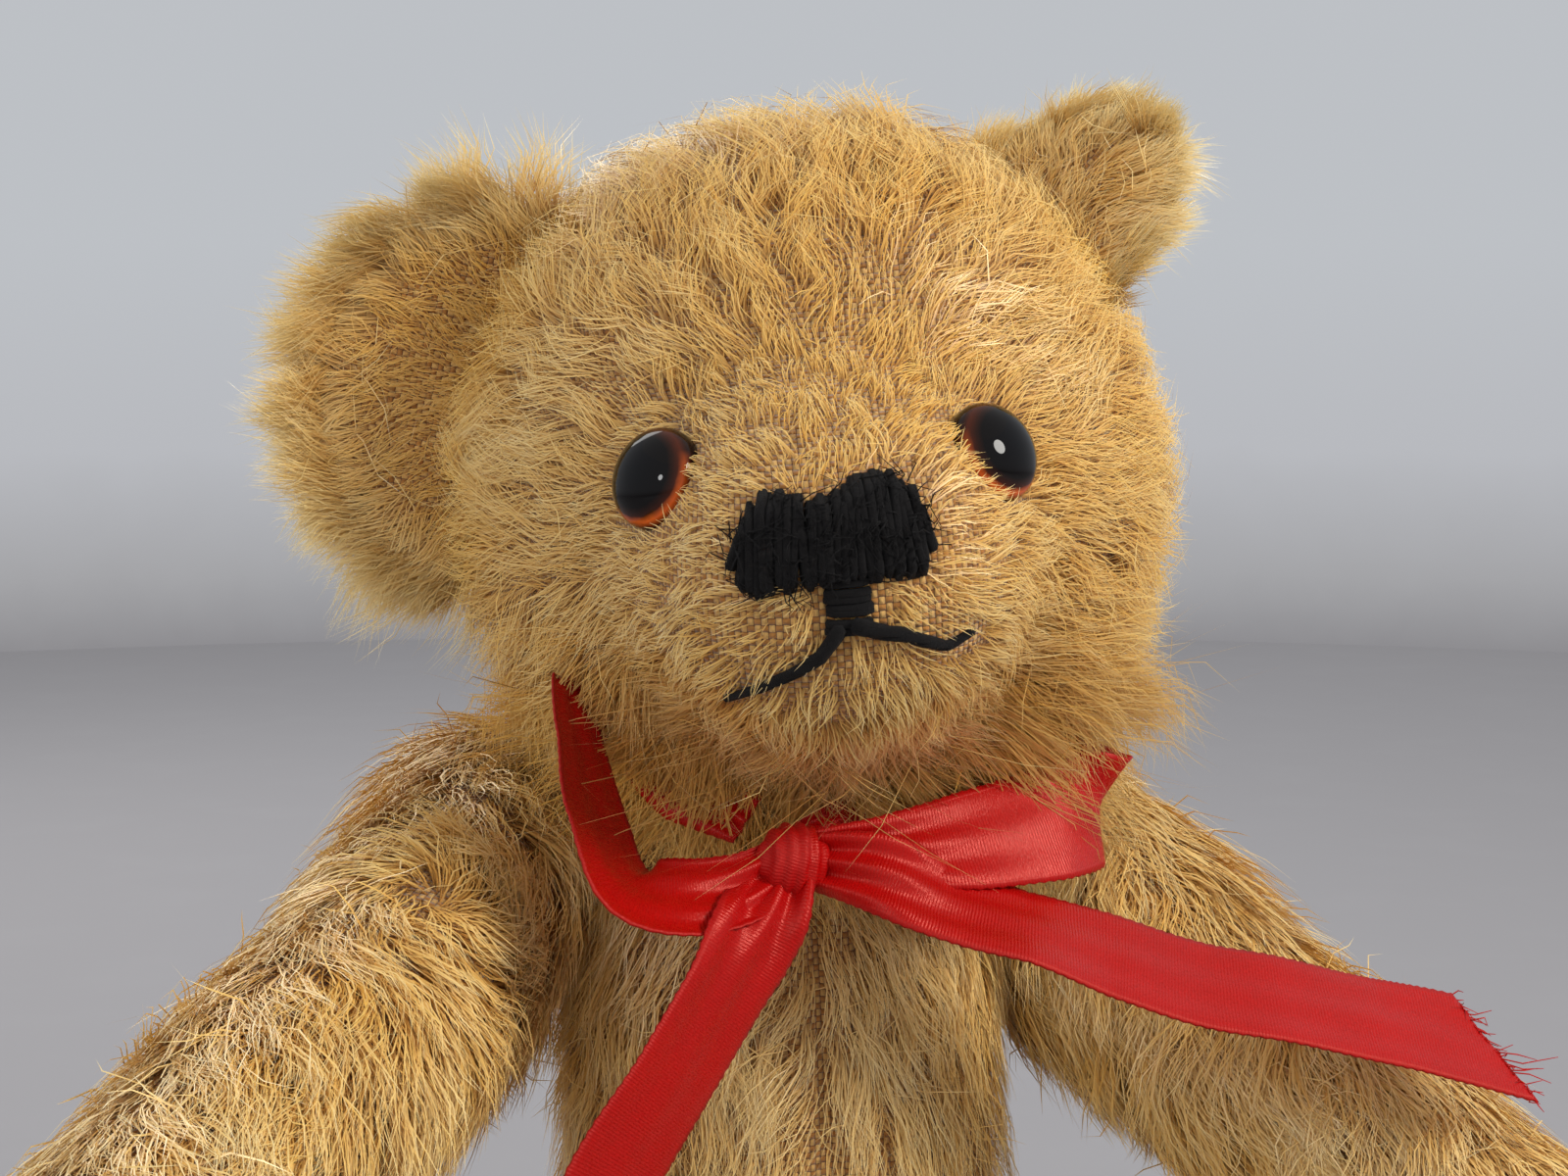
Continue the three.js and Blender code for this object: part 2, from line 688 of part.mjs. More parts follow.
// The ribbon: the band round the neck joined to the knot, the loops and the tails. Each strip
// runs through its points, with its width along the given directions.
function ribbonForm() {
  const band = neckTube(0, -RIBBON.bandDrop, RIBBON.bandHeight, RIBBON.thick);
  const knot = new THREE.IcosahedronGeometry(RIBBON.knot, 1).scale(1, 0.9, 0.9);
  knot.translate(KNOT.x, KNOT.y, KNOT.z);
  const across = V(1, 0, 0);
  const upright = V(0, 0, 1);
  const strips = [
    stripForm(ROUTES.strap, [across, across], RIBBON.strap, 5),
    stripForm(
      ROUTES.rightLoop,
      [upright, upright, V(-0.1, 0.2, 1), V(-0.2, 0.5, 1), upright, upright, upright],
      RIBBON.loop,
      12,
    ),
    stripForm(ROUTES.leftLoop, [upright, upright], RIBBON.loop, 12),
    stripForm(
      ROUTES.hangingTail,
      [V(0.9, 0, 0.4), V(0.9, 0, -0.5), V(0.85, 0, -0.5), V(0.85, 0, -0.5), V(0.85, 0, -0.5)],
      RIBBON.tail,
      10,
    ),
    stripForm(
      ROUTES.standingTail,
      [upright, V(0.1, 0, 1), V(0.2, 0, 1), V(0.25, 0, 1), V(0.3, 0, 1)],
      RIBBON.tail,
      12,
    ),
  ];
  return geometryOf(joined(...[band, knot, ...strips].map(solidOf)));
}

// A named mesh with its own finish.
function part(name, geometry, finish) {
  const mesh = new THREE.Mesh(geometry, new THREE.MeshStandardMaterial(finish));
  mesh.name = name;
  return mesh;
}

// Cuts a form by other forms, and leaves the result as a geometry.
function cut(form, cutters) {
  return geometryOf(cutters.reduce((left, cutter) => left.subtract(solidOf(cutter)), solidOf(form)));
}

const bear = new THREE.Group();

// The torso, hollowed for the five joints, and the hardware that stays with it.
const torsoPockets = Object.values(joints).map((joint) => {
  const form = pocket(joint, -1).toNonIndexed().applyMatrix4(joint.frame.matrixWorld);
  if (joint.frame.matrixWorld.determinant() < 0) turnFaces(form);
  return form;
});
bear.add(part("torso", cut(torsoForm(28, 24), [...torsoPockets, neckGroove()]), MOHAIR));

// Turns every triangle of a mirrored geometry round, so that it faces out again.
function turnFaces(geometry) {
  const position = geometry.attributes.position;
  const first = new THREE.Vector3();
  const second = new THREE.Vector3();
  for (let i = 0; i < position.count; i += 3) {
    first.fromBufferAttribute(position, i);
    second.fromBufferAttribute(position, i + 1);
    position.setXYZ(i, second.x, second.y, second.z);
    position.setXYZ(i + 1, first.x, first.y, first.z);
  }
}

// Each joint's hardware. The limb's disc and washer turn with the limb; the pin and the inner
// disc and washer stay with the torso.
for (const [name, joint] of Object.entries(joints)) {
  const { frame, axis, disc } = joint;
  frame.add(part(`${name}_pin`, splitPin(axis), STEEL));
  frame.add(part(`${name}_inner_disc`, ring(disc, LAYER.disc, LAYER.discBack, axis, -1), HARDBOARD));
  frame.add(
    part(
      `${name}_inner_washer`,
      ring(HARDWARE.washerRadius, LAYER.washer, LAYER.washerBack, axis, -1),
      STEEL,
    ),
  );
  frame.add(part(`${name}_outer_disc`, ring(disc, LAYER.disc, LAYER.discBack, axis, 1), HARDBOARD));
  frame.add(
    part(
      `${name}_outer_washer`,
      ring(HARDWARE.washerRadius, LAYER.washer, LAYER.washerBack, axis, 1),
      STEEL,
    ),
  );
  bear.add(frame);
}

// The head turns about the neck's axis, with its middle forward of the pin.
const head = new THREE.Group();
head.rotation.z = NECK.turn;
joints.neck.frame.add(head);
const skull = new THREE.Group();
skull.position.copy(HEAD_MIDDLE);
head.add(skull);

const neckPocket = pocket(joints.neck, 1).translate(-HEAD_MIDDLE.x, -HEAD_MIDDLE.y, -HEAD_MIDDLE.z);
const eyeMatrices = { right: -1, left: 1 };
for (const [name, side] of Object.entries(eyeMatrices)) {
  eyeMatrices[name] = faceMatrix(side * EYE.yaw, EYE.pitch, -EYE.sink);
}
const sockets = Object.values(eyeMatrices).map((matrix) => eyeSocket().applyMatrix4(matrix));
skull.add(part("head", cut(headForm(32, 24), [neckPocket, ...sockets]), MOHAIR));
for (const [name, matrix] of Object.entries(eyeMatrices)) {
  skull.add(part(`eye_${name}`, eyeForm().applyMatrix4(matrix), AMBER_GLASS));
  skull.add(part(`eye_shank_${name}`, shankForm().applyMatrix4(matrix), STEEL));
}
const trimmed = headForm(32, 24, FIT.rest);
for (const [name, side] of [["right", -1], ["left", 1]]) {
  const ear = earForm().applyMatrix4(earMatrix(side, EAR[name]));
  skull.add(part(`ear_${name}`, cut(ear, [trimmed]), MOHAIR));
}
skull.add(part("nose_stitching", noseForm(), BLACK_WOOL));
skull.add(part("mouth_stitching", mouthForm(), BLACK_WOOL));

// The arms and legs, each swung about its joint.
for (const side of ["right", "left"]) {
  const arm = new THREE.Group();
  arm.rotation.x = -SWING[`arm_${side}`];
  const shoulder = joints[`shoulder_${side}`];
  shoulder.frame.add(arm);
  arm.add(part(`arm_${side}`, cut(armForm(20, 20), [pocket(shoulder, 1)]), MOHAIR));
  arm.add(part(`paw_pad_${side}`, pawPadForm(), FELT_FINISH));

  const leg = new THREE.Group();
  leg.rotation.x = -SWING[`leg_${side}`];
  const hip = joints[`hip_${side}`];
  hip.frame.add(leg);
  leg.add(part(`leg_${side}`, cut(legForm(20, 24), [pocket(hip, 1)]), MOHAIR));
  leg.add(part(`foot_pad_${side}`, footPadForm(), FELT_FINISH));
}

bear.add(part("neck_ribbon", ribbonForm(), RED_SATIN));

export default bear;
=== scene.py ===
"""A worn, disc-jointed mohair bear with glass eyes, stitched nose and a satin bow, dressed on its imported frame.

All sizes below are in millimetres; a mesh is turned into metres as it is made.
"""
import json
import logging
import math
from dataclasses import dataclass, field
from enum import Enum
from typing import Callable

import bpy
import numpy as np
from mathutils import Matrix

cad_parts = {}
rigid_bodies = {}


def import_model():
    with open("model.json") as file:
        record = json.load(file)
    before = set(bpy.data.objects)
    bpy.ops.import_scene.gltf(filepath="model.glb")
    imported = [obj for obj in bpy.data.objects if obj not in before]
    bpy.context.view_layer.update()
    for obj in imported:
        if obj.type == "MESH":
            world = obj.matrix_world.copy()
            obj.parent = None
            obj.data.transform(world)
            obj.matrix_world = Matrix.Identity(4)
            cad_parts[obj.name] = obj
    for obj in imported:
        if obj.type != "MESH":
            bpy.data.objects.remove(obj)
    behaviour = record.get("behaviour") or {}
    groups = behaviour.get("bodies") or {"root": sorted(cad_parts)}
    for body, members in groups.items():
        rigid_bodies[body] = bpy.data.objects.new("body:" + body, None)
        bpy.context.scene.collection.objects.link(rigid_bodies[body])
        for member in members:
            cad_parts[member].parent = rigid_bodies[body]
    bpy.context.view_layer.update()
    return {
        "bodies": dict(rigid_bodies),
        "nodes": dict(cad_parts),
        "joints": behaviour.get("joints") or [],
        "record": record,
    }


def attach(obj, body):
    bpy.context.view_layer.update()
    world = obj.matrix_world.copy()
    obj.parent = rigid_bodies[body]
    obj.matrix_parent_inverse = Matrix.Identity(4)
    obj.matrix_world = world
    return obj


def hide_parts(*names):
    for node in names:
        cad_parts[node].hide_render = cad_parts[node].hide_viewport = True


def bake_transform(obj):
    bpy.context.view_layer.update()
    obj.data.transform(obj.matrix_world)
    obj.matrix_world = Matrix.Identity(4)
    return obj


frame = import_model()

LOG = logging.getLogger("bear")
MM = 0.001
Array = np.ndarray
Density = Callable[[Array, Array], Array]
Triple = tuple[float, float, float]
Stops = list[tuple[float, Triple]]
Part = tuple[Array, list[Array]]
NECK = np.array([5.0, -3, 148])
NECK_TILT = -4.5
RIBBON_WIDTH = 15.0
INSET = 0.25


class Side(Enum):
    """The bear's own two sides, as the sign of X."""

    RIGHT = -1
    LEFT = 1

    @property
    def word(self) -> str:
        """The side's name as the CAD nodes spell it."""
        return self.name.lower()


# ---------------------------------------------------------------- numbers


def unit(v: Array) -> Array:
    """Vectors along the last axis divided by their lengths."""
    return v / np.maximum(np.linalg.norm(v, axis=-1, keepdims=True), 1e-12)


def norm(v: Array) -> Array:
    """The lengths of vectors along the last axis."""
    return np.linalg.norm(v, axis=-1)


def stack(*parts: Array) -> Array:
    """Arrays side by side along a new last axis."""
    return np.stack(parts, axis=-1)


def dot(a: Array, b: Array) -> Array:
    """Dot product along the last axis, which is kept."""
    return np.sum(a * b, axis=-1, keepdims=True)


def lerp(a: Array, b: Array, t: Array) -> Array:
    """The value a share t of the way from a to b."""
    return a + (b - a) * t


def smooth(x: Array, low: float, high: float) -> Array:
    """3t^2 - 2t^3, where t is x measured from low to high and kept within 0 and 1."""
    t = np.clip((x - low) / (high - low), 0, 1)
    return t * t * (3 - 2 * t)


def bump(distance: Array, reach: float) -> Array:
    """exp(-(distance / reach)^2): 1 at no distance and almost 0 at twice the reach."""
    return np.exp(-((distance / reach) ** 2))


def turning(axis: str, degrees: float) -> Array:
    """The 3x3 matrix of a turn about X, Y or Z."""
    return np.array(Matrix.Rotation(math.radians(degrees), 3, axis))


def turns(count: int) -> Array:
    """The angles of even steps round a circle, from 0."""
    return np.arange(count) * 2 * math.pi / count


def table(at: Array, places: Array, rows: Array) -> Array:
    """Rows of numbers looked up between their places, each column on its own."""
    return np.stack([np.interp(at, places, column) for column in np.asarray(rows, float).T], axis=-1)


def facing(yaw: Array, pitch: Array) -> Array:
    """The head's direction for degrees of yaw and pitch: (sin yaw cos pitch, -cos yaw cos pitch, sin pitch)."""
    a, b = np.radians(yaw), np.radians(pitch)
    return stack(np.sin(a) * np.cos(b), -np.cos(a) * np.cos(b), np.sin(b) * np.ones_like(a))


def chance(cells: Array, seed: int) -> Array:
    """A repeatable random number from 0 to 1 for each whole-number place, by mixing the bits of its coordinates."""
    h = np.full(cells.shape[:-1], seed * 2654435761 & 0xFFFFFFFF, np.uint64)
    for k, prime in enumerate((73856093, 19349663, 83492791)):
        h ^= (cells[..., k].astype(np.int64) & 0xFFFFFFFF).astype(np.uint64) * np.uint64(prime)
        h = (h ^ (h >> np.uint64(15))) * np.uint64(2246822519) & np.uint64(0xFFFFFFFF)
    h = (h ^ (h >> np.uint64(13))) * np.uint64(3266489917) & np.uint64(0xFFFFFFFF)
    return (h ^ (h >> np.uint64(16))).astype(float) / 0xFFFFFFFF


def drift(points: Array, pitch: float, seed: int) -> Array:
    """Smooth noise from 0 to 1: chances at the corners of a lattice, blended by an eased distance to each."""
    place = points / pitch
    cell = np.floor(place).astype(np.int64)
    part = place - cell
    part = part * part * (3 - 2 * part)
    total = np.zeros(points.shape[:-1])
    for corner in np.ndindex(2, 2, 2):
        step = np.array(corner)
        total += np.prod(np.where(step, part, 1 - part), axis=-1) * chance(cell + step, seed)
    return total


def locks(points: Array, pitch: float, seed: int) -> tuple[Array, Array]:
    """The nearest lock centre of each root, where each cell of a lattice holds one centre at a random place.

    Args:
        points: roots, one a row.
        pitch: the cell's size.
        seed: the draw.

    Returns:
        The centres, and three random numbers for each lock.
    """
    cell = np.floor(points / pitch).astype(np.int64)
    best = np.full(len(points), np.inf)
    centre, owner = np.zeros_like(points), np.zeros_like(cell)
    for step in np.ndindex(3, 3, 3):
        near = cell + np.array(step) - 1
        spot = (near + np.stack([chance(near, seed + k) for k in range(3)], axis=-1)) * pitch
        gap = np.sum((spot - points) ** 2, axis=-1)
        closer = gap < best
        best[closer], centre[closer], owner[closer] = gap[closer], spot[closer], near[closer]
    return centre, np.stack([chance(owner, seed + 7 + k) for k in range(3)], axis=-1)


# ---------------------------------------------------------------- meshes


def put_mesh(name: str, points: Array, faces: list[Array], finish: bpy.types.Material, uv: Array | None = None,
             uv_name: str = "cloth", normals: Array | None = None) -> bpy.types.Object:
    """Makes an object of whole arrays, at the origin.

    Args:
        name: the piece's name.
        points: its vertices in millimetres.
        faces: arrays of vertex numbers, one face a row, with one array for each number of corners.
        finish: its material.
        uv: a pair for each corner, in the faces' order.
        uv_name: the UV map's name.
        normals: the vertices' own shading normals, where the faces' don't do.

    Returns:
        The object, linked into the scene.
    """
    mesh = bpy.data.meshes.new(name)
    corners = np.concatenate([f.ravel() for f in faces]).astype(np.int32)
    sizes = np.concatenate([np.full(len(f), f.shape[1]) for f in faces])
    starts = np.concatenate(([0], np.cumsum(sizes)[:-1])).astype(np.int32)
    mesh.vertices.add(len(points))
    mesh.vertices.foreach_set("co", (points * MM).astype(np.float32).ravel())
    mesh.loops.add(len(corners))
    mesh.loops.foreach_set("vertex_index", corners)
    mesh.polygons.add(len(sizes))
    mesh.polygons.foreach_set("loop_start", starts)
    mesh.update(calc_edges=True)
    if uv is not None:
        mesh.uv_layers.new(name=uv_name).uv.foreach_set("vector", uv.astype(np.float32).ravel())
    mesh.polygons.foreach_set("use_smooth", np.ones(len(sizes), bool))
    if normals is not None:
        mesh.normals_split_custom_set_from_vertices(normals.astype(np.float32))
    mesh.materials.append(finish)
    piece = bpy.data.objects.new(name, mesh)
    bpy.context.scene.collection.objects.link(piece)
    return piece


def between(rows: int, count: int, flip: bool = False) -> Array:
    """The quads between rings of points, which are numbered ring by ring; flipped, they face the other way."""
    r, c = np.meshgrid(np.arange(rows - 1) * count, np.arange(count), indexing="ij")
    d = (c + 1) % count
    quads = stack(r + c, r + d, r + count + d, r + count + c).reshape(-1, 4)
    return quads[:, [0, 3, 2, 1]] if flip else quads


def tube(path: Array, out: Array, thick: Array, rounds: int = 6) -> Part:
    """A thread: rings of points square to a path, and a point beyond each end.

    Args:
        path: the thread's middle, one point a row.
        out: a direction at each point that the ring starts from, such as away from what it lies on.
        thick: its radius at each point.
        rounds: points in a ring.

    Returns:
        The vertices, and the faces as quads and triangles.
    """
    along = unit(np.gradient(path, axis=0))
    side = unit(np.cross(along, out))
    turn = turns(rounds)[None, :, None]
    ring = np.cos(turn) * side[:, None] + np.sin(turn) * np.cross(side, along)[:, None]
    rings = path[:, None] + ring * thick[:, None, None]
    rows = len(path)
    ends = [path[:1] - along[:1] * thick[0] * 0.6, path[-1:] + along[-1:] * thick[-1] * 0.6]
    k = np.arange(rounds)
    after = (k + 1) % rounds
    last = (rows - 1) * rounds
    caps = [stack(after, k, np.full(rounds, rows * rounds)),
            stack(last + k, last + after, np.full(rounds, rows * rounds + 1))]
    return np.concatenate([rings.reshape(-1, 3), *ends]), [between(rows, rounds), np.concatenate(caps)]


def joined(parts: list[Part]) -> Part:
    """Several meshes of the same kinds of face as one."""
    shifts = np.concatenate(([0], np.cumsum([len(points) for points, _ in parts])[:-1]))
    kinds = range(len(parts[0][1]))
    faces = [np.concatenate([f[k] + shift for (_, f), shift in zip(parts, shifts)]) for k in kinds]
    return np.concatenate([points for points, _ in parts]), faces


def spline(points: list[tuple[float, ...]], count: int) -> Array:
    """A smooth curve through points, cubic between each two of them, as that many points at even parameter steps."""
    p = np.asarray(points, float)
    last = len(p) - 2
    p = np.concatenate([2 * p[:1] - p[1:2], p, 2 * p[-1:] - p[-2:-1]])
    s = np.linspace(0, last + 1, count)
    k = np.minimum(s.astype(int), last)
    f = (s - k)[:, None]
    a, b, c, d = p[k], p[k + 1], p[k + 2], p[k + 3]
    return 0.5 * (2 * b + (c - a) * f + (2 * a - 5 * b + 4 * c - d) * f ** 2 + (3 * b - a - 3 * c + d) * f ** 3)


@dataclass
class Surface:
    """A closed surface on a grid of rows, from one pole's row to the other's, and columns round it."""

    points: Array
    normals: Array = field(init=False)
    outward: bool = field(init=False)

    def __post_init__(self) -> None:
        """Works out the normals from the crossed differences along rows and columns, and whether they face out."""
        p = self.points
        along = np.gradient(p, axis=0)
        round_ = (np.roll(p, -1, axis=1) - np.roll(p, 1, axis=1)) / 2
        n = np.cross(round_, along)
        middle = p.mean(axis=(0, 1))
        self.outward = bool(np.sum(n * (p - middle)) >= 0)
        if not self.outward:
            n = -n
        n[0], n[-1] = n[1].mean(axis=0), n[-2].mean(axis=0)
        self.normals = unit(n)

    def cloth(self) -> Array:
        """Flat millimetres for the weave: the length along a row from its middle column, and down the middle column."""
        p = np.concatenate([self.points, self.points[:, :1]], axis=1)
        step = norm(np.diff(p, axis=1))
        across = np.concatenate([np.zeros((len(p), 1)), np.cumsum(step, axis=1)], axis=1)
        middle = p.shape[1] // 2
        across -= across[:, middle:middle + 1]
        down = norm(np.diff(p[:, middle], axis=0))
        down = np.concatenate([[0], np.cumsum(down)])[:, None] * np.ones(p.shape[1])
        return stack(across, down)

    def corners(self) -> tuple[list[Array], Array]:
        """The faces as vertex numbers, quads between the rows and triangles at the poles, and their cloth UV."""
        rows, columns = self.points.shape[:2]
        r, c = np.meshgrid(np.arange(rows), np.arange(columns + 1), indexing="ij")
        number = np.clip(1 + (r - 1) * columns + c % columns, 0, 1 + (rows - 2) * columns)
        number[0] = 0
        cloth = self.cloth()
        order = slice(None) if self.outward else slice(None, None, -1)

        def pick(grid: Array, first: int, last: int, steps: list[tuple[int, int]]) -> Array:
            """The grid's values at each cell's corners, for the cell rows from first to last."""
            cells = [grid[first + i:last + i, j:columns + j] for i, j in steps]
            shape = (-1, len(steps)) + grid.shape[2:]
            return np.stack(cells, axis=2).reshape(shape)[:, order]

        quad, top, bottom = [(0, 0), (0, 1), (1, 1), (1, 0)], [(0, 0), (1, 1), (1, 0)], [(0, 0), (0, 1), (1, 0)]
        parts = [(1, rows - 2, quad), (0, 1, top), (rows - 2, rows - 1, bottom)]
        faces = [pick(number, *part) for part in parts]
        return faces, np.concatenate([pick(cloth, *part).reshape(-1, 2) for part in parts])

    def vertices(self) -> Array:
        """The points one a row, with each pole once."""
        p = self.points
        return np.concatenate([p[:1, 0], p[1:-1].reshape(-1, 3), p[-1:, 0]])

    def put(self, name: str, finish: bpy.types.Material) -> bpy.types.Object:
        """Makes the surface's mesh."""
        faces, uv = self.corners()
        return put_mesh(name, self.vertices(), faces, finish, uv)

    def scatter(self, count: int, share: Density, rng: np.random.Generator) -> tuple[Array, Array]:
        """Draws roots on the surface, where a cell's chance is its area times its share of pile.

        Args:
            count: how many roots.
            share: gives 0 to 1 for places and normals.
            rng: the draw.

        Returns:
            The roots and the normals there.
        """
        def cells(grid: Array) -> Array:
            """The four corners of each cell."""
            g = np.concatenate([grid, grid[:, :1]], axis=1)
            return np.stack([g[:-1, :-1], g[:-1, 1:], g[1:, :-1], g[1:, 1:]], axis=2).reshape(-1, 4, 3)

        p, n = cells(self.points), cells(self.normals)
        area = norm(np.cross(p[:, 3] - p[:, 0], p[:, 2] - p[:, 1]))
        weight = area * np.clip(share(p.mean(axis=1), unit(n.mean(axis=1))), 0, None)
        chosen = np.searchsorted(np.cumsum(weight) / weight.sum(), rng.random(count))
        chosen = np.minimum(chosen, len(p) - 1)
        a, b = rng.random((count, 1)), rng.random((count, 1))
        w = np.stack([(1 - a) * (1 - b), a * (1 - b), (1 - a) * b, a * b], axis=1)
        return np.sum(p[chosen] * w, axis=1), unit(np.sum(n[chosen] * w, axis=1))


def ball(rows: int, columns: int, blunt: bool = False) -> Array:
    """Points of the unit sphere from its lower pole to its upper one, starting behind (+Y) and going round.

    With blunt, the rows crowd to the poles, as the square of a sine, for shapes that are flat there.
    """
    t = np.linspace(0, 1, rows)
    lat = (np.sin((t - 0.5) * math.pi) if blunt else 2 * t - 1) * math.pi / 2
    la, lo = np.meshgrid(lat, turns(columns), indexing="ij")
    return stack(-np.sin(lo) * np.cos(la), np.cos(lo) * np.cos(la), np.sin(la))


def fullness(q: Array, bluntness: float) -> Array:
    """How much fuller a blunt form is than a round one: the distance from the axis to the power bluntness - 1."""
    return np.maximum(np.hypot(q[..., 0], q[..., 1]), 1e-6) ** (bluntness - 1)


def press(points: Array, through: Array, outward: Array) -> Array:
    """Moves what lies beyond a joint's plane onto it, where the cover stays the inset back from the plane's point."""
    over = dot(points - through, outward) + INSET
    return points - np.maximum(over, 0) * outward


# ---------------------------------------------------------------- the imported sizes, repeated from the CAD source


@dataclass(frozen=True)
class Joint:
    """A disc joint: where its pin crosses the covers, and its axis, pointing out of the body."""

    at: Array
    axis: Array

    @staticmethod
    def neck() -> "Joint":
        """The neck's."""
        return Joint(NECK, turning("Y", NECK_TILT)[:, 2])

    @staticmethod
    def shoulder(side: Side) -> "Joint":
        """A shoulder's."""
        return Joint(np.array([side.value * 27.5, 1, 127]), limb_turn(side, 10, 8)[:, 0] * side.value)

    @staticmethod
    def hip(side: Side) -> "Joint":
        """A hip's."""
        return Joint(np.array([side.value * 29.0, 0, 26]), limb_turn(side, 9, 0)[:, 0] * side.value)


def limb_turn(side: Side, yaw: float, tilt: float) -> Array:
    """A limb's frame before it is mirrored and swung: yaw about Z, then tilt about Y, each towards its side."""
    return turning("Z", side.value * yaw) @ turning("Y", -side.value * tilt)


# ---------------------------------------------------------------- node tools and shared effects


@dataclass
class Bench:
    """Adds nodes to one tree and links them, so that an effect reads as a sum."""

    tree: bpy.types.NodeTree

    def add(self, kind: str, inputs: dict | None = None, **settings: object) -> bpy.types.Node:
        """Adds a node, sets its properties, and links or sets its inputs.

        Args:
            kind: the node's type name.
            inputs: a socket, a node or a value for an input's name or number.
            settings: the node's own properties.

        Returns:
            The node.
        """
        node = self.tree.nodes.new(kind)
        for key, value in settings.items():
            setattr(node, key, value)
        for key, value in (inputs or {}).items():
            if isinstance(value, bpy.types.Node):
                value = value.outputs[0]
            if isinstance(value, bpy.types.NodeSocket):
                self.tree.links.new(value, node.inputs[key])
            else:
                node.inputs[key].default_value = value
        return node

    def give(self, node: bpy.types.Node, **values: object) -> bpy.types.NodeTree:
        """Links sockets or nodes to a node's inputs by name (spaces written as underscores), and returns the tree."""
        for key, value in values.items():
            socket = value.outputs[0] if isinstance(value, bpy.types.Node) else value
            self.tree.links.new(socket, node.inputs[key.replace("_", " ")])
        return self.tree

    def math(self, operation: str, *values: object, clamp: bool = False) -> bpy.types.NodeSocket:
        """One sum of up to three values."""
        return self.add("ShaderNodeMath", dict(enumerate(values)), operation=operation, use_clamp=clamp).outputs[0]

    def mix(self, share: object, a: object, b: object, blend: str = "MIX") -> bpy.types.NodeSocket:
        """Colour a turned into b by a share."""
        node = self.add("ShaderNodeMix", {0: share, 6: a, 7: b}, data_type="RGBA", blend_type=blend)
        return node.outputs[2]

    def ramp(self, value: object, stops: Stops) -> bpy.types.NodeSocket:
        """A colour for a value, from stops of place and colour."""
        node = self.add("ShaderNodeValToRGB", {0: value})
        row = node.color_ramp.elements
        while len(row) < len(stops):
            row.new(1.0)
        for element, (place, colour) in zip(row, stops):
            element.position, element.color = place, (*colour, 1)
        return node.outputs[0]

    def noise(self, where: object, scale: float, detail: float = 3, roughness: float = 0.55) -> bpy.types.NodeSocket:
        """Noise from 0 to 1."""
        inputs = {"Vector": where, "Scale": scale, "Detail": detail, "Roughness": roughness}
        return self.add("ShaderNodeTexNoise", inputs).outputs[0]

    def stretched(self, where: object, size: Triple, detail: float, roughness: float = 0.55) -> bpy.types.NodeSocket:
        """Noise from 0 to 1 of another scale along each axis."""
        place = self.add("ShaderNodeVectorMath", {0: where, 1: size}, operation="MULTIPLY")
        return self.noise(place, 1.0, detail, roughness)


def effect(name: str, takes: dict[str, str], gives: dict[str, str]) -> tuple[Bench, bpy.types.Node, bpy.types.Node]:
    """Starts a shader node group with named sockets, where a socket's kind is Float, Vector or Color."""
    tree = bpy.data.node_groups.new(name, "ShaderNodeTree")
    for direction, sockets in (("INPUT", takes), ("OUTPUT", gives)):
        for label, kind in sockets.items():
            tree.interface.new_socket(label, in_out=direction, socket_type="NodeSocket" + kind)
    bench = Bench(tree)
    return bench, bench.add("NodeGroupInput"), bench.add("NodeGroupOutput")


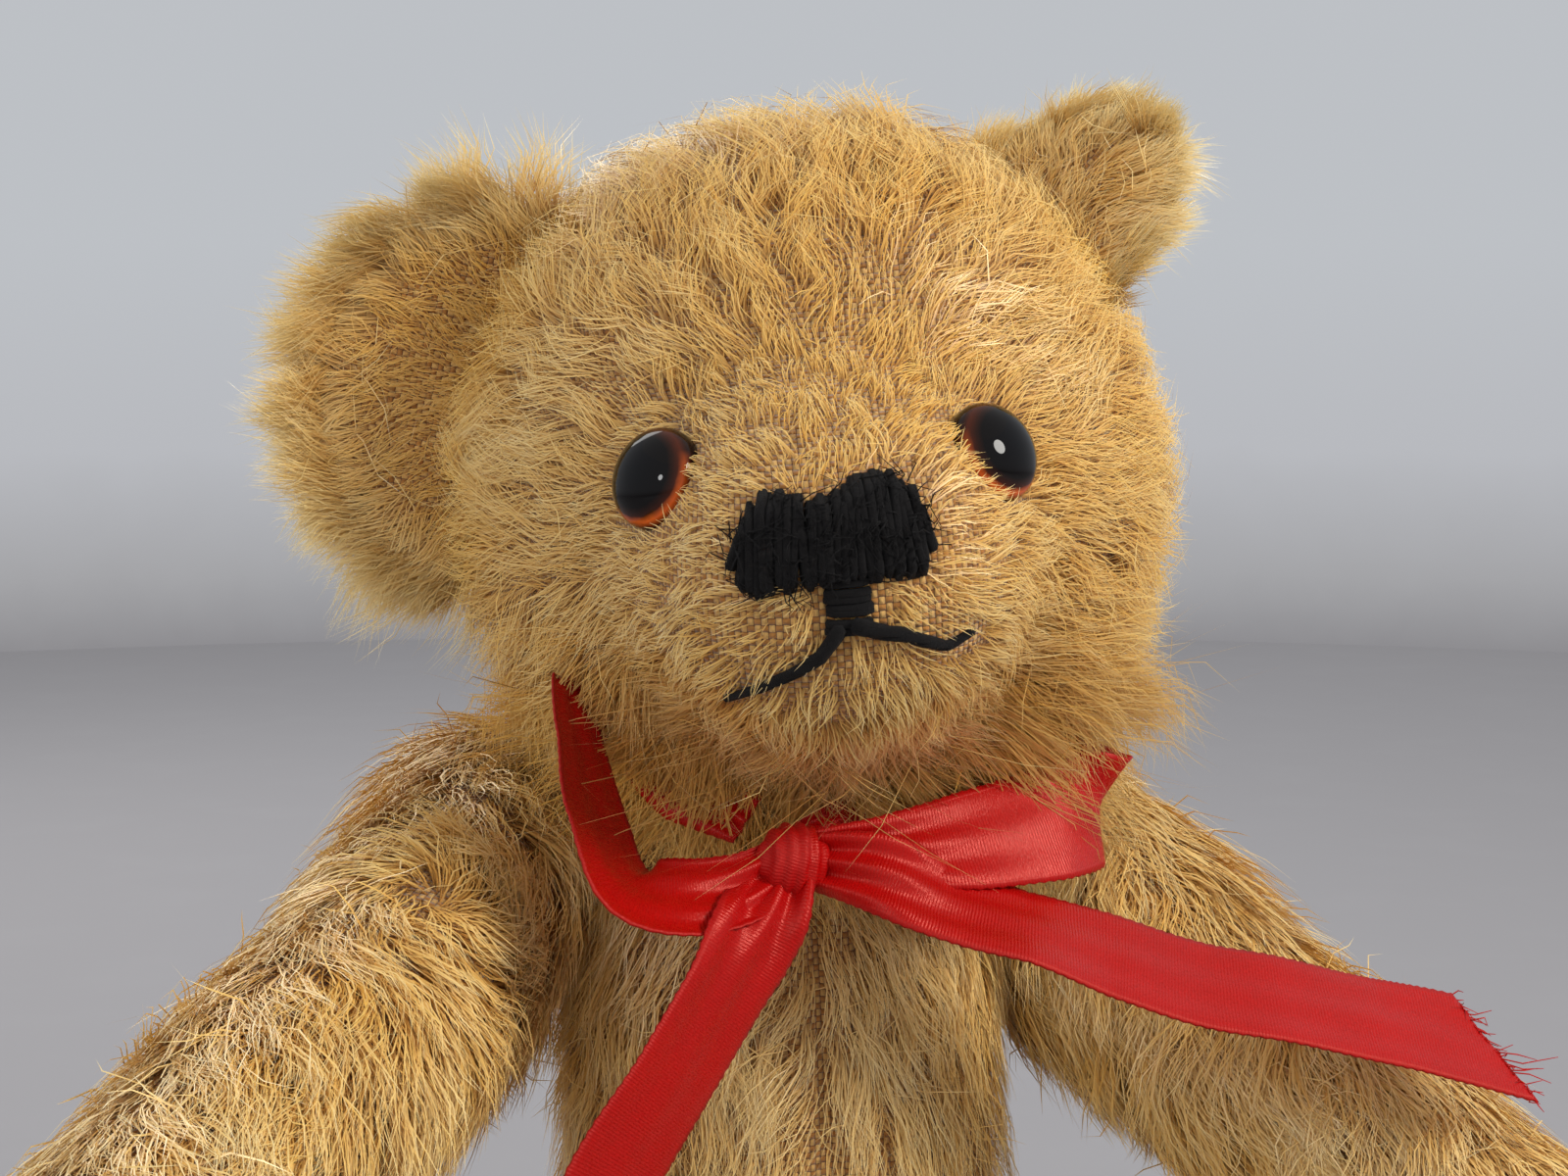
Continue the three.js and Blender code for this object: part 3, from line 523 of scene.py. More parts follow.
class Effects:
    """The shared effects, each a node group that is built once."""

    built: dict[str, bpy.types.NodeTree] = {}

    @classmethod
    def get(cls, name: str) -> bpy.types.NodeTree:
        """The effect of that name: weave, mottle or dust."""
        if name not in cls.built:
            cls.built[name] = getattr(cls, "make_" + name)()
        return cls.built[name]

    @staticmethod
    def make_weave() -> bpy.types.NodeTree:
        """Plain weave: threads of width 1 each way, and the one on top changes from cell to cell as on a chessboard.

        A thread's height is 1 - (2 part - 1)^2 across it, sunk a little at the ends where it dives under.
        """
        b, takes, gives = effect("weave", {"Threads": "Vector"}, dict.fromkeys(("Height", "Warp", "Gap"), "Float"))
        split = b.add("ShaderNodeSeparateXYZ", {0: takes.outputs[0]})
        across, crown = [], []
        for axis in (0, 1):
            part = b.math("FRACT", split.outputs[axis])
            away = b.math("SUBTRACT", b.math("MULTIPLY", part, 2.0), 1.0)
            crown.append(b.math("SUBTRACT", 1.0, b.math("MULTIPLY", away, away)))
            across.append(b.math("FLOOR", split.outputs[axis]))
        warp = b.math("FLOORED_MODULO", b.math("ADD", *across), 2.0)
        heights = [b.math("MULTIPLY", crown[k], b.math("MULTIPLY_ADD", crown[1 - k], 0.5, 0.5)) for k in (0, 1)]
        height = b.math("ADD", b.math("MULTIPLY", heights[0], warp),
                        b.math("MULTIPLY", heights[1], b.math("SUBTRACT", 1.0, warp)))
        # Gap marks the low places between threads, where the backing paints shade
        return b.give(gives, Height=height, Warp=warp, Gap=b.math("LESS_THAN", height, 0.25))

    @staticmethod
    def make_mottle() -> bpy.types.NodeTree:
        """Uneven colour: broad noise and fine noise, taken round 0.5 and added to a multiplier round 1."""
        takes = {"Place": "Vector", "Broad": "Float", "Fine": "Float", "Amount": "Float"}
        b, takes, gives = effect("mottle", takes, {"Shade": "Float"})
        noises = [b.add("ShaderNodeTexNoise", {"Vector": takes.outputs[0], "Scale": takes.outputs[k], "Detail": 4.0})
                  for k in (1, 2)]
        both = b.math("SUBTRACT", b.math("ADD", *noises), 1.0)
        return b.give(gives, Shade=b.math("MULTIPLY_ADD", both, takes.outputs["Amount"], 1.0))

    @staticmethod
    def make_dust() -> bpy.types.NodeTree:
        """Dust and lint: specks where fine noise passes a level, thicker where broad noise is high."""
        b, takes, gives = effect("dust", {"Place": "Vector", "Scale": "Float", "Level": "Float"}, {"Mask": "Float"})
        place, scale, level = list(takes.outputs)[:3]
        fine = b.add("ShaderNodeTexNoise", {"Vector": place, "Scale": scale, "Detail": 5.0})
        broad = b.add("ShaderNodeTexNoise", {"Vector": place, "Scale": b.math("MULTIPLY", scale, 0.13)})
        both = b.math("ADD", b.math("MULTIPLY", fine, 0.7), b.math("MULTIPLY", broad, 0.3))
        above = b.math("SUBTRACT", both, level)
        return b.give(gives, Mask=b.math("MULTIPLY", above, 9.0, clamp=True))


@dataclass(frozen=True)
class Finish:
    """What every finish has: a name, and the values that are the same all over."""

    name: str

    def start(self, **values: object) -> tuple[bpy.types.Material, Bench, bpy.types.Node]:
        """A new material with a plain shader, whose sockets take the values (spaces written as underscores)."""
        material = bpy.data.materials.new(self.name)
        material.use_nodes = True
        shader = material.node_tree.nodes["Principled BSDF"]
        for key, value in values.items():
            shader.inputs[key.replace("_", " ")].default_value = value
        return material, Bench(material.node_tree), shader

    @staticmethod
    def place(bench: Bench, scale: float = 1.0, uv: str | None = None) -> bpy.types.Node:
        """Object coordinates in millimetres times a scale, or a UV map times it."""
        source = bench.add("ShaderNodeUVMap", uv_map=uv).outputs[0] if uv else \
            bench.add("ShaderNodeTexCoord").outputs["Object"]
        size = scale if uv else scale * 1000
        return bench.add("ShaderNodeVectorMath", {0: source, 1: (size, size, size)}, operation="MULTIPLY")

    @staticmethod
    def group(bench: Bench, name: str, **values: object) -> bpy.types.Node:
        """A shared effect with its inputs, by name."""
        return bench.add("ShaderNodeGroup", values, node_tree=Effects.get(name))

    @staticmethod
    def raise_(bench: Bench, shader: bpy.types.Node, height: object, distance: float, strength: float = 1.0) -> None:
        """Feeds a height to the shader's normal, with its depth in millimetres."""
        node = bench.add("ShaderNodeBump", {"Height": height, "Distance": distance * MM, "Strength": strength})
        bench.give(shader, Normal=node)

    @staticmethod
    def paint(bench: Bench, shader: bpy.types.Node, colour: object, shade: object | None = None) -> None:
        """Feeds a colour to the shader, darkened or lightened by a shade."""
        if shade is not None:
            tone = bench.add("ShaderNodeCombineColor", {0: shade, 1: shade, 2: shade})
            colour = bench.mix(1.0, colour, tone.outputs[0], "MULTIPLY")
        bench.give(shader, Base_Color=colour)


@dataclass(frozen=True)
class Backing(Finish):
    """The woven cotton that the pile grows from: brown weft and golden warp, with painted shade dark in the gaps
    between threads.
    """

    name: str = "mohair_backing"
    threads_per_mm: float = 1.2

    def make(self) -> bpy.types.Material:
        """Weave on the cloth's own UV, mottled."""
        material, b, shader = self.start(Roughness=0.9, Sheen_Weight=0.3, Sheen_Roughness=0.5, Specular_IOR_Level=0.2)
        cloth = self.place(b, self.threads_per_mm, "cloth")
        weave = self.group(b, "weave", Threads=cloth)
        shade = self.group(b, "mottle", Place=self.place(b), Broad=0.05, Fine=0.9, Amount=0.9)
        fibre = b.noise(cloth, 5.0, 4)
        thread = b.mix(weave.outputs["Warp"], (0.42, 0.17, 0.035, 1), (0.78, 0.47, 0.15, 1))
        thread = b.mix(b.math("MULTIPLY", fibre, 0.5), thread, (0.55, 0.28, 0.08, 1))
        # the dark colour in the weave's gaps is painted shade between the threads
        colour = b.mix(weave.outputs["Gap"], thread, (0.16, 0.06, 0.02, 1))
        self.paint(b, shader, colour, shade.outputs[0])
        self.raise_(b, shader, b.math("ADD", weave.outputs["Height"], b.math("MULTIPLY", fibre, 0.3)), 0.35)
        return material


@dataclass(frozen=True)
class Pile(Finish):
    """Mohair strands: the colour runs from a dark root, painted shade deep in the pile, to the tip, and from golden
    brown to cream with the strand's tone.

    A strand's UV holds its tone across and the way along it, so that one small map serves every strand.
    """

    name: str = "mohair_pile"

    def make(self) -> bpy.types.Material:
        """Two ramps along the strand, mixed by tone, with a soft sheen."""
        material, b, shader = self.start(Sheen_Weight=0.15, Sheen_Roughness=0.35, Sheen_Tint=(1, 0.84, 0.55, 1),
                                         Specular_IOR_Level=0.8, Specular_Tint=(1, 0.92, 0.76, 1))
        tone, along, _ = b.add("ShaderNodeSeparateXYZ", {0: b.add("ShaderNodeUVMap", uv_map="OFBake")}).outputs
        # both ramps start dark at the root: painted shade deep in the pile
        deep = b.ramp(along, [(0, (0.34, 0.12, 0.018)), (0.3, (0.72, 0.36, 0.055)),
                              (0.7, (0.9, 0.53, 0.1)), (1, (0.96, 0.69, 0.23))])
        pale = b.ramp(along, [(0, (0.45, 0.2, 0.045)), (0.3, (0.83, 0.54, 0.17)),
                              (0.7, (0.95, 0.75, 0.34)), (1, (0.98, 0.89, 0.6))])
        colour = b.mix(tone, deep, pale)
        b.give(shader, Roughness=b.math("MULTIPLY_ADD", along, -0.12, 0.42))
        self.paint(b, shader, colour)
        return material


@dataclass(frozen=True)
class Satin(Finish):
    """Red satin: fine ribs across the ribbon, woven edges and a little pale lint."""

    name: str = "red_satin"

    def make(self) -> bpy.types.Material:
        """Ribs and floats on the ribbon's UV, in millimetres across and along."""
        material, b, shader = self.start(Anisotropic=0.5, Specular_IOR_Level=0.8, Specular_Tint=(1, 0.3, 0.24, 1))
        cloth = self.place(b, 1.0, "cloth")
        across, along, _ = b.add("ShaderNodeSeparateXYZ", {0: cloth}).outputs
        weft = b.math("SINE", b.math("MULTIPLY", along, 2 * math.pi / 0.42))
        floats = b.stretched(cloth, (2.2, 7.5, 1), 3)
        edge = b.math("ABSOLUTE", b.math("SUBTRACT", across, RIBBON_WIDTH / 2))
        selvedge = b.math("MULTIPLY", b.math("SUBTRACT", edge, RIBBON_WIDTH / 2 - 0.9), 3.0, clamp=True)
        shade = self.group(b, "mottle", Place=self.place(b), Broad=0.09, Fine=1.4, Amount=0.3)
        red = b.mix(floats, (0.34, 0.001, 0.0015, 1), (0.56, 0.003, 0.003, 1))
        red = b.mix(b.math("MULTIPLY", selvedge, 0.35), red, (0.4, 0.004, 0.006, 1))
        lint = self.group(b, "dust", Place=cloth, Scale=1.1, Level=0.66)
        red = b.mix(b.math("MULTIPLY", lint.outputs[0], 0.1), red, (0.8, 0.2, 0.15, 1))
        self.paint(b, shader, red, shade.outputs[0])
        rough = b.math("MULTIPLY_ADD", floats, 0.16, 0.2)
        b.give(shader, Roughness=b.math("ADD", rough, b.math("MULTIPLY", selvedge, 0.2)))
        height = b.math("ADD", b.math("MULTIPLY", weft, 0.3), b.math("ADD", floats, b.math("MULTIPLY", selvedge, 0.6)))
        self.raise_(b, shader, height, 0.1, 0.6)
        return material


@dataclass(frozen=True)
class Felt(Finish):
    """Pressed wool felt with stains."""

    name: str = "felt"

    def make(self) -> bpy.types.Material:
        """Matted fibres: stretched noise two ways, with stains."""
        material, b, shader = self.start(Roughness=0.95, Sheen_Weight=0.5, Sheen_Roughness=0.6, Specular_IOR_Level=0.15)
        where = self.place(b)
        matted = b.math("MAXIMUM", *(b.stretched(where, size, 5, 0.65) for size in ((5, 1.2, 1.2), (1.2, 1.2, 5))))
        colour = b.mix(matted, (0.3, 0.19, 0.085, 1), (0.68, 0.5, 0.29, 1))
        stain = b.noise(where, 0.09, 4)
        colour = b.mix(b.math("MULTIPLY", stain, 0.5), colour, (0.26, 0.15, 0.07, 1))
        self.paint(b, shader, colour)
        self.raise_(b, shader, matted, 0.4)
        return material


@dataclass(frozen=True)
class Wool(Finish):
    """Black wool thread: fine plies and a little brown fade."""

    name: str = "black_wool"

    def make(self) -> bpy.types.Material:
        """Fibres as stretched noise, faded brown in patches of noise, with sheen."""
        material, b, shader = self.start(Roughness=0.85, Sheen_Weight=0.05, Sheen_Roughness=0.5,
                                         Specular_IOR_Level=0.12)
        where = self.place(b)
        fibre = b.stretched(where, (7, 7, 2), 5, 0.7)
        fade = self.group(b, "dust", Place=where, Scale=1.6, Level=0.6)
        colour = b.mix(fibre, (0.002, 0.002, 0.0025, 1), (0.014, 0.012, 0.012, 1))
        self.paint(b, shader, b.mix(b.math("MULTIPLY", fade.outputs[0], 0.25), colour, (0.05, 0.038, 0.03, 1)))
        b.give(shader, Roughness=b.math("MULTIPLY_ADD", fibre, 0.2, 0.72))
        self.raise_(b, shader, fibre, 0.35)
        return material


@dataclass(frozen=True)
class EyeGlass(Finish):
    """A glass eye as it looks from outside: black pupil, dark brown round it, and an orange ring at the rim, the
    glass's amber shown low down as a painted glow of light through the glass.
    """

    name: str = "eye_glass"

    def make(self) -> bpy.types.Material:
        """Rings by the distance from the middle, which the UV holds with a share that grows downward, under a coat;
        that share keeps the orange ring low down, a painted glow.
        """
        material, b, shader = self.start(Coat_Weight=0.6, Coat_Roughness=0.02, Specular_IOR_Level=0.02, Coat_IOR=1.4)
        far, low, _ = b.add("ShaderNodeSeparateXYZ", {0: b.add("ShaderNodeUVMap", uv_map="cloth")}).outputs
        where = self.place(b)
        wander = b.math("MULTIPLY_ADD", b.noise(where, 0.5, 3), 0.05, -0.025)
        out = b.math("ADD", far, wander)
        rings = b.ramp(out, [(0, (0.002, 0.002, 0.003)), (0.7, (0.003, 0.002, 0.002)), (0.78, (0.02, 0.006, 0.003)),
                             (0.9, (0.07, 0.014, 0.005)), (0.96, (0.02, 0.006, 0.003)), (1, (0.006, 0.003, 0.003))])
        # the orange ring is strongest low down: a painted glow of light through the glass
        low = b.math("MULTIPLY", b.math("SUBTRACT", low, 0.5), 2.2, clamp=True)
        off = b.math("MULTIPLY", b.math("ABSOLUTE", b.math("SUBTRACT", out, 0.92)), 13.0)
        ring = b.math("MULTIPLY", b.math("SUBTRACT", 1.0, off, clamp=True), low)
        colour = b.mix(ring, rings, (0.85, 0.15, 0.02, 1))
        smear = self.group(b, "dust", Place=where, Scale=0.9, Level=0.55)
        self.paint(b, shader, colour)
        b.give(shader, Roughness=b.math("MULTIPLY_ADD", smear, 0.1, 0.06))
        self.raise_(b, shader, b.noise(where, 0.35, 1), 0.02, 0.4)
        return material


@dataclass(frozen=True)
class Hardboard(Finish):
    """Pressed fibre board: short fibres, darker at random."""

    name: str = "hardboard"

    def make(self) -> bpy.types.Material:
        """Fibres as noise stretched along X, mottled."""
        material, b, shader = self.start(Specular_IOR_Level=0.3)
        where = self.place(b)
        fibre = b.stretched(where, (0.8, 3, 3), 6, 0.7)
        shade = self.group(b, "mottle", Place=where, Broad=0.15, Fine=2.0, Amount=0.6)
        self.paint(b, shader, b.mix(fibre, (0.1, 0.05, 0.02, 1), (0.33, 0.19, 0.09, 1)), shade.outputs[0])
        b.give(shader, Roughness=b.math("MULTIPLY_ADD", fibre, 0.3, 0.55))
        self.raise_(b, shader, fibre, 0.15)
        return material


@dataclass(frozen=True)
class Steel(Finish):
    """Plain steel with brushing and a few rust specks."""

    name: str = "steel"

    def make(self) -> bpy.types.Material:
        """Brushed noise for roughness, and rust where dust would lie."""
        material, b, shader = self.start()
        where = self.place(b)
        brush = b.stretched(where, (0.6, 6, 6), 4)
        rust = self.group(b, "dust", Place=where, Scale=0.8, Level=0.6)
        self.paint(b, shader, b.mix(rust.outputs[0], (0.5, 0.5, 0.48, 1), (0.22, 0.08, 0.03, 1)))
        b.give(shader, Metallic=b.math("SUBTRACT", 1.0, rust), Roughness=b.math("MULTIPLY_ADD", brush, 0.3, 0.22))
        self.raise_(b, shader, brush, 0.03)
        return material


# ---------------------------------------------------------------- the camera


@dataclass
class Viewpoint:
    """The photograph's camera: its place, its direction, and its focal length in pixels of a 1600 x 1200 frame."""

    azimuth: float = -16.0
    elevation: float = 5.0
    at: Triple = (-90.8, -326.9, 197.5)
    focal: float = 2475.0

    WIDE, HIGH, SENSOR = 1600, 1200, 36

    def axes(self) -> Array:
        """The camera's right, up and backward directions as columns."""
        a, e = math.radians(self.azimuth), math.radians(self.elevation)
        back = np.array([math.sin(a) * math.cos(e), -math.cos(a) * math.cos(e), math.sin(e)])
        right = np.array([math.cos(a), math.sin(a), 0])
        return np.stack([right, np.cross(back, right), back], axis=1)

    def ray(self, x: float, y: float) -> Array:
        """The direction through a pixel."""
        return unit(self.axes() @ np.array([x - self.WIDE / 2, self.HIGH / 2 - y, -self.focal]))

    def spot(self, surface: Surface, x: float, y: float) -> Array:
        """The surface's point that a pixel's ray meets: the one with the least distance off the ray and along it."""
        p = surface.points.reshape(-1, 3)
        ray = self.ray(x, y)
        far = (p - np.array(self.at)) @ ray
        off = norm(p - np.array(self.at) - far[:, None] * ray)
        score = off + 0.15 * (far - far.min())
        return p[np.argmin(score)]

    def put(self) -> None:
        """Makes the camera and sets it as the scene's."""
        data = bpy.data.cameras.new("view")
        data.sensor_width, data.lens = self.SENSOR, self.focal / self.WIDE * self.SENSOR
        data.clip_start, data.clip_end = 0.01, 20
        camera = bpy.data.objects.new("view", data)
        bpy.context.scene.collection.objects.link(camera)
        pose = Matrix.Identity(4)
        for row in range(3):
            for column in range(3):
                pose[row][column] = self.axes()[row, column]
            pose[row][3] = self.at[row] * MM
        camera.matrix_world = pose
        bpy.context.scene.camera = camera


VIEW = Viewpoint()


# ---------------------------------------------------------------- pile


@dataclass
class Lay:
    """How the pile lies at each root: direction along the cloth, length, rise from it, tone and curl."""

    flow: Array
    length: Array
    lift: Array
    tone: Array
    curl: Array


@dataclass
class Grower:
    """Grows mohair as tapered strands of a few faces, gathered into locks.

    A strand's path is root + length t (cos a flow + sin a normal), where the rise a falls along it. It is pulled
    towards its lock's centre as t^1.6, waves to the side as a sine, and droops as t^2. A small share is loose: such
    a strand keeps to no lock. A strand tapers to its thinnest share of the width, and its face is as wide in the
    colour map as a tone step each way.
    """

    finish: bpy.types.Material
    lock: float
    gather: float
    droop: float
    stray: float
    seed: int
    rows: int = 4
    width: float = 0.2

    LOOSE = 0.035
    ABOVE_FLOOR = 0.25
    THINNEST = 0.55
    TONE_STEP = 0.006

    def grow(self, name: str, surface: Surface, count: int, share: Density,
             lay: Callable[[Array, Array], Lay]) -> bpy.types.Object:
        """Grows the strands of one piece.

        Args:
            name: the piece's name.
            surface: what they are rooted in.
            count: how many.
            share: density from 0 to 1 at places and normals.
            lay: how they lie at roots and normals.

        Returns:
            The piece.
        """
        rng = np.random.default_rng(self.seed)
        root, normal = surface.scatter(count, share, rng)
        coat = lay(root, normal)
        centre, luck = locks(root, self.lock, self.seed)
        flow = unit(coat.flow - dot(coat.flow, normal) * normal)
        side = np.cross(normal, flow)
        yaw = (luck[:, :1] - 0.5) * 2 * self.stray + rng.normal(0, 0.13, (count, 1))
        loose = rng.random((count, 1)) < self.LOOSE
        yaw = np.where(loose, rng.normal(0, 1.1, (count, 1)), yaw)
        yaw = yaw + (drift(root, 1.6, self.seed + 3)[:, None] - 0.5) * 0.3
        flow = np.cos(yaw) * flow + np.sin(yaw) * side
        side = np.cross(normal, flow)
        length = coat.length[:, None] * (0.78 + 0.3 * luck[:, 1:2]) * rng.uniform(0.7, 1.12, (count, 1))
        length = np.where(loose, length * 1.05, length)
        lift = coat.lift[:, None] * (0.85 + 0.3 * luck[:, 2:3]) + rng.normal(0, 0.1, (count, 1))
        t = np.linspace(0, 1, self.rows)
        rise = lift[:, None] * (1 - 0.5 * t[None, :, None])
        path = root[:, None] + length[:, None] * t[None, :, None] * (
            np.cos(rise) * flow[:, None] + np.sin(rise) * normal[:, None])
        phase = luck[:, 2:3] + rng.normal(0, 0.05, (count, 1))
        wave = np.sin(2 * math.pi * (phase + 0.85 * t[None])) - np.sin(2 * math.pi * phase)
        path += side[:, None] * (coat.curl[:, None] * length * wave * t[None])[..., None]
        pull = centre - root
        pull -= dot(pull, normal) * normal
        held = self.gather * np.where(loose, 0, 1) * rng.uniform(0.05, 1.1, (count, 1))
        path += pull[:, None] * (held * t[None] ** 1.6)[..., None]
        path[..., 2] -= self.droop * length * t[None] ** 2
        path[:, 0] -= 0.35 * normal
        path[..., 2] = np.maximum(path[..., 2], self.ABOVE_FLOOR)
        tone = np.clip(coat.tone + (luck[:, 0] - 0.5) * 0.3 + rng.normal(0, 0.1, count), 0.03, 0.97)
        return self.put(name, path, normal, tone, rng)

    def put(self, name: str, path: Array, normal: Array, tone: Array, rng: np.random.Generator) -> bpy.types.Object:
        """Makes the strands' mesh: pairs of points along each path and one at its tip.

        Args:
            name: the piece's name.
            path: strands, points along each, coordinates.
            normal: the cloth's normal at each root.
            tone: each strand's tone.
            rng: the draw.

        Returns:
            The piece, whose faces' UV holds the tone across and the way along.
        """
        count, rows = path.shape[:2]
        tangent = unit(path[:, -1] - path[:, 0])
        out = unit(normal - dot(normal, tangent) * tangent + 1e-4)
        across = np.cross(tangent, out)
        roll = rng.uniform(-0.9, 0.9, (count, 1))
        across, face = np.cos(roll) * across + np.sin(roll) * out, np.cos(roll) * out - np.sin(roll) * across
        half = self.width / 2 * rng.uniform(0.75, 1.25, (count, 1)) * np.linspace(1, self.THINNEST, rows - 1)[None]
        spread = across[:, None] * half[..., None]
        pairs = np.stack([path[:, :-1] - spread, path[:, :-1] + spread], axis=2).reshape(count, -1, 3)
        points = np.concatenate([pairs, path[:, -1:]], axis=1)
        each = points.shape[1]
        base = (np.arange(count) * each)[:, None, None]
        k = np.arange(rows - 2) * 2
        quads = (stack(k, k + 1, k + 3, k + 2)[None] + base).reshape(-1, 4)
        tips = (np.array([[each - 3, each - 2, each - 1]])[None] + base).reshape(-1, 3)
        step = 1 / (rows - 1)
        edge = np.array([-1, 1, 1, -1]) * self.TONE_STEP
        low = stack(k / 2, k / 2, k / 2 + 1, k / 2 + 1) * step
        u = tone[:, None, None] + edge[None, None]
        quad_uv = np.stack([np.broadcast_to(part, (count, rows - 2, 4)) for part in (u, low[None])], axis=-1)
        tip_u = tone[:, None] + np.array([-1, 1, 0])[None] * self.TONE_STEP
        tip_v = np.broadcast_to(np.array([1 - step, 1 - step, 1.0])[None], tip_u.shape)
        uv = np.concatenate([quad_uv.reshape(-1, 2), stack(tip_u, tip_v).reshape(-1, 2)])
        shading = unit(0.62 * normal + 0.38 * face)
        normals = np.repeat(shading[:, None], each, axis=1).reshape(-1, 3)
        uv = np.clip(uv, 0.002, 0.998)
        return put_mesh(name, points.reshape(-1, 3), [quads, tips], self.finish, uv, "OFBake", normals)


@dataclass
class Worn:
    """Places where the pile is worn away: where each is, how far it reaches, and how bare it is."""

    spots: list[tuple[Array, float, float]]

    def at(self, points: Array) -> Array:
        """How worn each point is, from 0 to 1: the spots' bumps, broken up by noise."""
        total = np.zeros(len(points))
        for centre, reach, depth in self.spots:
            total = np.maximum(total, depth * bump(norm(points - centre), reach))
        rough = 0.35 + 1.3 * drift(points, 2.4, 71)
        return np.clip(total * rough, 0, 1)


@dataclass
class Shop:
    """The finishes that the whole bear is made with."""

    backing: bpy.types.Material
    pile: bpy.types.Material
    satin: bpy.types.Material
    felt: bpy.types.Material
    wool: bpy.types.Material
    glass: bpy.types.Material
    board: bpy.types.Material
    steel: bpy.types.Material

    @staticmethod
    def stock() -> "Shop":
        """Makes every finish once."""
        return Shop(Backing().make(), Pile().make(), Satin().make(), Felt().make(), Wool().make(), EyeGlass().make(),
                    Hardboard().make(), Steel().make())

    @staticmethod
    def hand_over(piece: bpy.types.Object, body: str, slot: str, *nodes: str) -> bpy.types.Object:
        """Makes a piece ride on a body, hides the nodes it stands for, and logs it."""
        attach(piece, body)
        if nodes:
            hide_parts(*nodes)
        LOG.info("%s: %d faces on %s", piece.name, len(piece.data.polygons), body)
        return piece


# ---------------------------------------------------------------- head


@dataclass
class Head:
    """The stuffed head: an ellipsoid with a muzzle and cheeks, pressed flat at the neck."""

    shop: Shop
    half: Triple = (43.5, 40.0, 43.0)
    above_neck: float = 37.7
    strands: int = 38000

    MUZZLE = (24.0, 12.0, 0.47, 0.42)
    NOSE_PITCH, NOSE_OUT = -8.0, 66

    def __post_init__(self) -> None:
        """Makes the skin's grid and the places of wear."""
        self.tilt = turning("Y", NECK_TILT)
        self.turn = turning("Z", -14.4)
        self.shift = np.array([3.5, -6, self.above_neck])
        direction = ball(121, 180)
        local = direction * self.radius(direction)[..., None]
        lumps = (drift(local, 9.0, 5) - 0.5) * 0.7
        local += direction * lumps[..., None]
        local[..., 2] = np.maximum(local[..., 2], INSET - self.above_neck)
        self.skin = Surface(self.world(local))
        spots = [((14, 30), 7, 0.6), ((3.5, 23.6), 4.5, 0.5), ((-4.9, 16.5), 3, 0.5), ((-33, 17), 4, 0.8),
                 ((-5.8, -12.6), 2.6, 0.85), ((8.5, -12.9), 2.6, 0.85), ((-0.3, -18.3), 2.2, 0.8),
                 ((-1.6, -23.8), 3.0, 0.8), ((12, -6), 2.2, 0.7), ((150, 20), 9, 0.8), ((95, 42), 6, 0.7)]
        self.worn = Worn([(self.on(*place), reach, depth) for place, reach, depth in spots])

    def radius(self, d: Array) -> Array:
        """The cover's distance from the middle: the ellipsoid's, a blunt bump ahead and a soft one at each cheek.

        The muzzle is a bump of some length, whose axis dips by an angle, with a width and a height as sines.
        """
        shell = 1 / np.sqrt(sum((d[..., k] / self.half[k]) ** 2 for k in range(3)))
        muzzle_out, dip, wide, high = self.MUZZLE
        c, s = math.cos(math.radians(dip)), math.sin(math.radians(dip))
        ahead = -d[..., 1] * c - d[..., 2] * s
        above = d[..., 2] * c - d[..., 1] * s
        across = (d[..., 0] / wide) ** 2 + (above / high) ** 2
        muzzle = np.where(ahead > 0, muzzle_out * np.exp(-across ** 1.5), 0)
        cheek_at = unit(np.array([0.8, -0.3, -0.45]))
        mirrored = np.concatenate([np.abs(d[..., :1]), d[..., 1:]], axis=-1)
        apart = np.arccos(np.clip(mirrored @ cheek_at, -1, 1))
        return shell + muzzle + 3 * bump(apart, 0.55)

    def world(self, local: Array) -> Array:
        """Points from the head's own frame to the world: moved on the neck, turned, then tilted."""
        return (local + self.shift) @ self.turn.T @ self.tilt.T + NECK

    def aim(self, direction: Array) -> Array:
        """Directions from the head's own frame to the world."""
        return direction @ self.turn.T @ self.tilt.T

    def local(self, world: Array) -> Array:
        """Points from the world to the head's own frame."""
        return (world - NECK) @ self.tilt @ self.turn - self.shift

    def on(self, yaw: Array, pitch: Array, above: Array = 0.0) -> Array:
        """The world points on the cover, or above it, at yaws and pitches in degrees."""
        d = facing(np.asarray(yaw, float), np.asarray(pitch, float))
        return self.world(d * (self.radius(d) + above)[..., None])

    def angles(self, points: Array) -> tuple[Array, Array, Array]:
        """The yaw, pitch and direction of world points, seen from the head's middle."""
        d = unit(self.local(points))
        return np.degrees(np.arctan2(d[:, 0], -d[:, 1])), np.degrees(np.arcsin(np.clip(d[:, 2], -1, 1))), d

    @staticmethod
    def apart(d: Array, yaw: float, pitch: float) -> Array:
        """The angle in degrees between directions and one at that yaw and pitch."""
        return np.degrees(np.arccos(np.clip(d @ facing(np.array(yaw), np.array(pitch)), -1, 1)))

    def share(self, p: Array, n: Array) -> Array:
        """The pile's density: none at the neck, eyes, nose and mouth, and thin where worn."""
        yaw, pitch, d = self.angles(p)
        z = self.local(p)[:, 2]
        keep = smooth(z, -37.35, -36.2)
        for side in (-1, 1):
            keep *= smooth(self.apart(d, side * Eye.YAW, Eye.PITCH), 6.6, 7.8)
        keep *= 1 - FaceStitching.covered(yaw, pitch)
        keep *= 0.5 + 1.1 * smooth(-pitch, 24, 40) * smooth(-d[:, 1], 0, 0.4)
        return keep * (1 - 0.93 * self.worn.at(p))

